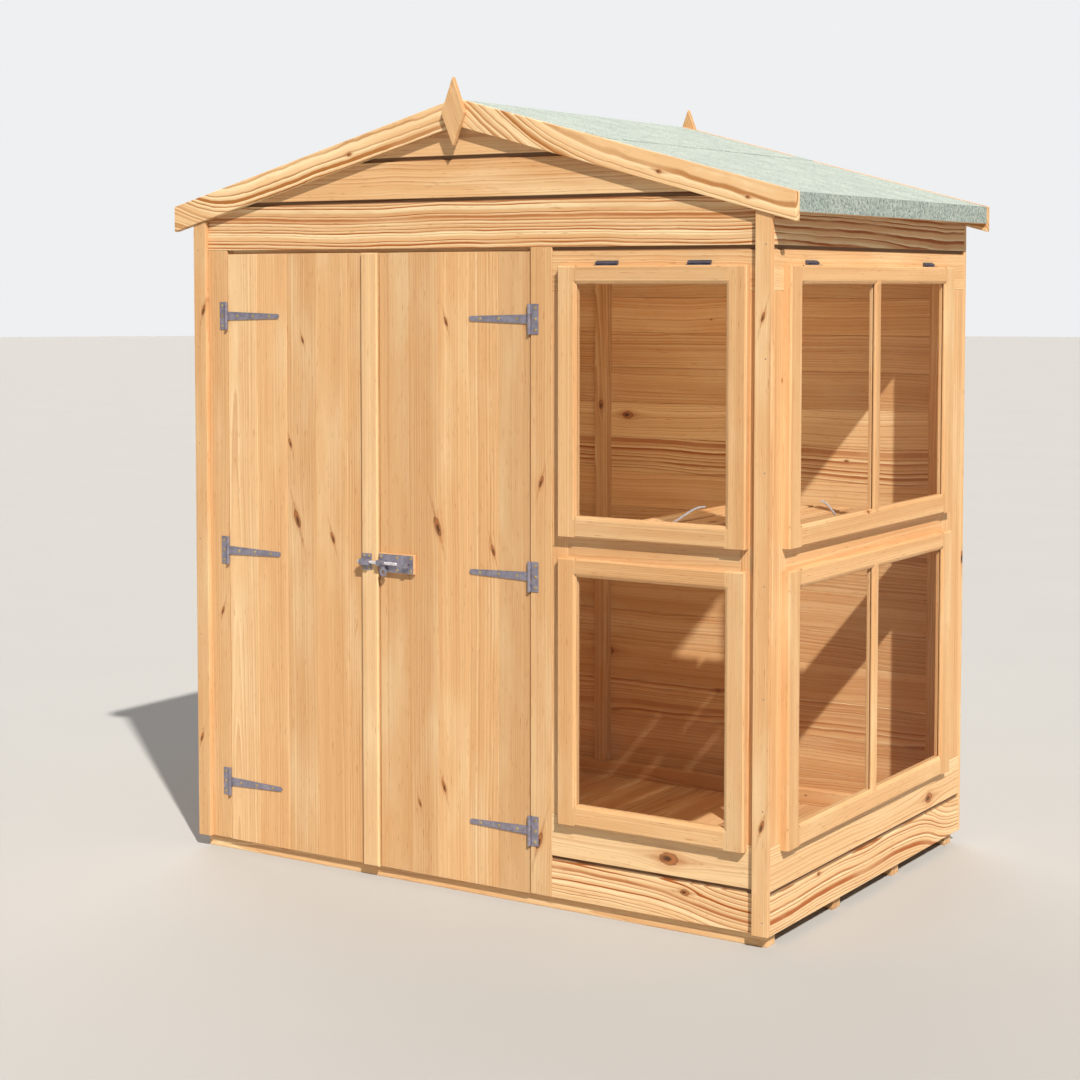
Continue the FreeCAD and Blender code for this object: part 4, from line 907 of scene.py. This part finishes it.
def repeatPiece(name, rows, head, size, seed, finish):
    holder = rowObject(name + "Rows", rows)
    modifier = holder.modifiers.new("heads", "NODES")
    modifier.node_group = headTree
    wanted = {"Head": head, "Size": size, "Seed": seed, "Finish": finish}
    for item in headTree.interface.items_tree:
        if item.in_out == "INPUT" and item.name in wanted:
            modifier[item.identifier] = wanted[item.name]
    bpy.context.view_layer.update()
    mesh = bpy.data.meshes.new_from_object(holder.evaluated_get(bpy.context.evaluated_depsgraph_get()))
    mesh.name = name
    bpy.data.objects.remove(holder)
    return linkObject(name, mesh)


def row(start, end, amount, facing):
    return {"from": start, "to": end, "amount": amount, "facing": facing}


headTree = repeatTree("headRows")
screwHead = headObject("screwHead", screwShape)
nailHead = headObject("nailHead", nailShape)

# each drawn screw takes the place of a plain one of the same radius
screwPlan = {
    "cap": 0.0008, "stub": 0.0001,
    "seeds": {"hinge_plate_screws": 11, "left_door_screws": 12, "right_door_screws": 13},
}


def screwRows(node):
    where, solids = solidsOf(node)
    rows, radius = [], 0.0
    for faces in solids:
        points = [where[i] for i in {i for ring in faces for i in ring}]
        front = min(p.y for p in points)
        cap = [p for p in points if p.y < front + screwPlan["cap"]]
        x, z = sum(p.x for p in cap) / len(cap), sum(p.z for p in cap) / len(cap)
        radius = max(radius, max(p.x for p in points) - x)
        rows.append(row((x, front, z), (x, front + screwPlan["stub"], z), 1, (0.0, -1.0, 0.0)))
    return rows, radius


for node, seed in screwPlan["seeds"].items():
    rows, radius = screwRows(node)
    piece = repeatPiece(node + "_heads", rows, screwHead, radius, seed, screwSteel)
    dress(piece, node)
    print(node, len(rows), "radius", round(radius, 4))


# nails: rows up the studs, along the trims and across the floor; tacks hold the felt to the eaves
nailPlan = {
    "nail": 0.0018, "tack": 0.0028, "lift": 0.0001, "nailSeed": 21, "tackSeed": 22,
    "firstBoard": 0.068, "boardPitch": 0.108, "boards": 16,
    "sideStuds": (-0.561, 0.0, 0.561), "backStuds": (-0.836, -0.271, 0.271, 0.836),
    "stripInset": 0.015, "stripNails": 7, "tacks": 12, "tackEnd": 0.05, "tackRise": 0.02,
}


def middles(node, axis):
    where, solids = solidsOf(node)
    found = []
    for faces in solids:
        values = [where[i][axis] for ring in faces for i in ring]
        found.append((min(values) + max(values)) / 2)
    return sorted(found)


def nailRows():
    lift, low, boards = nailPlan["lift"], nailPlan["firstBoard"], nailPlan["boards"]
    high = low + nailPlan["boardPitch"] * (boards - 1)
    left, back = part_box("left_cladding")[0][0] - lift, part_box("back_cladding")[1][1] + lift
    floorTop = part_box("floor_boards")[1][2] + lift
    rows = [row((left, y, low), (left, y, high), boards, (-1, 0, 0)) for y in nailPlan["sideStuds"]]
    rows += [row((x, back, low), (x, back, high), boards, (0, 1, 0)) for x in nailPlan["backStuds"]]
    stripLow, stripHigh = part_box("corner_strips")
    for x in (stripLow[0] + nailPlan["stripInset"], stripHigh[0] - nailPlan["stripInset"]):
        for y, way in ((stripLow[1] - lift, -1), (stripHigh[1] + lift, 1)):
            rows.append(row((x, y, low), (x, y, high), nailPlan["stripNails"], (0, way, 0)))
    boardsAt = middles("floor_boards", 0)
    for y in middles("floor_bearers", 1)[1:-1]:
        rows.append(row((boardsAt[0], y, floorTop), (boardsAt[-1], y, floorTop), len(boardsAt), (0, 0, 1)))
    return rows


def tackRows():
    rows = []
    for node, side, way in (("left_felt", 0, -1), ("right_felt", 1, 1)):
        low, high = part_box(node)
        x, z = (low, high)[side][0] + way * nailPlan["lift"], low[2] + nailPlan["tackRise"]
        start, end = (x, low[1] + nailPlan["tackEnd"], z), (x, high[1] - nailPlan["tackEnd"], z)
        rows.append(row(start, end, nailPlan["tacks"], (way, 0, 0)))
    return rows


headPieces = {
    "wall_nails": (nailRows(), nailPlan["nail"], nailPlan["nailSeed"]),
    "felt_tacks": (tackRows(), nailPlan["tack"], nailPlan["tackSeed"]),
}
for name, (rows, size, seed) in headPieces.items():
    heads = repeatPiece(name, rows, nailHead, size, seed, nailSteel)
    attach(heads, "shed")
    print(name, len(heads.data.polygons), "faces")
for head in (screwHead, nailHead):
    bpy.data.objects.remove(head)


# studio: pale floor, sun from the front right, a weak wide one behind, a soft lamp inside for bounced light
studio = {
    "floor": (0.5, 0.495, 0.485, 1.0), "floorRadius": 60.0, "floorSides": 96, "floorDim": 0.95,
    "floorCloud": {"Scale": 1.2, "Detail": 4.0}, "floorRough": 0.9, "floorShine": 0.1,
    "sky": (0.28, 0.27, 0.265, 1.0), "backdrop": (0.86, 0.87, 0.88, 1.0),
}
suns = {
    "studioSun": {"from": (0.56, -0.47, 0.682), "power": 4.8, "angle": 1.2, "colour": (1.0, 0.955, 0.88)},
    "studioFill": {"from": (-0.55, 0.65, 0.5), "power": 1.3, "angle": 50.0, "colour": (1.0, 1.0, 1.0)},
}
insideLamp = {"place": (0.1, -0.1, 1.3), "power": 7.5, "radius": 0.3, "colour": (1.0, 0.87, 0.58)}
cameraView = {
    "place": (3.161, -5.1227, 1.5955), "turn": 32.787, "tilt": 3.398,
    "lens": 71.19, "sensor": 36.0, "shiftY": -0.12,
}


def addFloor():
    bm = bmesh.new()
    bmesh.ops.create_circle(bm, cap_ends=True, segments=studio["floorSides"], radius=studio["floorRadius"])
    material, tree, shader = newMaterial("studioFloorPaint")
    cloud = noiseOn(tree, objectPlace(tree), studio["floorCloud"])
    dim = tuple(c * studio["floorDim"] for c in studio["floor"][:3]) + (1.0,)
    setSockets(tree, shader, {
        "Base Color": mixColour(tree, cloud, dim, studio["floor"]),
        "Roughness": studio["floorRough"], "Specular IOR Level": studio["floorShine"],
    })
    finishMesh(bm, "studioFloor", material)


def addSun(name, look):
    lamp = bpy.data.lights.new(name, "SUN")
    lamp.energy, lamp.angle, lamp.color = look["power"], math.radians(look["angle"]), look["colour"]
    linkObject(name, lamp).rotation_euler = Vector(look["from"]).to_track_quat("Z", "Y").to_euler()


def addLamp(name, look):
    lamp = bpy.data.lights.new(name, "POINT")
    lamp.energy, lamp.shadow_soft_size, lamp.color = look["power"], look["radius"], look["colour"]
    holder = linkObject(name, lamp)
    holder.location = look["place"]
    holder.visible_camera = False


def addSky():
    world = bpy.data.worlds.new("studioSky")
    world.use_nodes = True
    bpy.context.scene.world = world
    tree = world.node_tree
    tree.nodes.clear()
    seen = addNode(tree, "ShaderNodeLightPath").outputs["Is Camera Ray"]
    light, backdrop = (
        addNode(tree, "ShaderNodeBackground", {"Color": studio[part], "Strength": 1.0}).outputs[0]
        for part in ("sky", "backdrop")
    )
    both = addNode(tree, "ShaderNodeMixShader", {0: seen, 1: light, 2: backdrop}).outputs[0]
    addNode(tree, "ShaderNodeOutputWorld", {"Surface": both})


def addCamera():
    lens = bpy.data.cameras.new("photoCamera")
    lens.sensor_width, lens.lens = cameraView["sensor"], cameraView["lens"]
    lens.shift_y = cameraView["shiftY"]
    holder = linkObject("photoCamera", lens)
    holder.location = cameraView["place"]
    holder.rotation_euler = (math.radians(90.0 - cameraView["tilt"]), 0.0, math.radians(cameraView["turn"]))
    bpy.context.scene.camera = holder


addFloor()
for name, look in suns.items():
    addSun(name, look)
addLamp("studioInside", insideLamp)
addSky()
addCamera()
bpy.context.scene.view_settings.view_transform = "Standard"
print("studio ready")
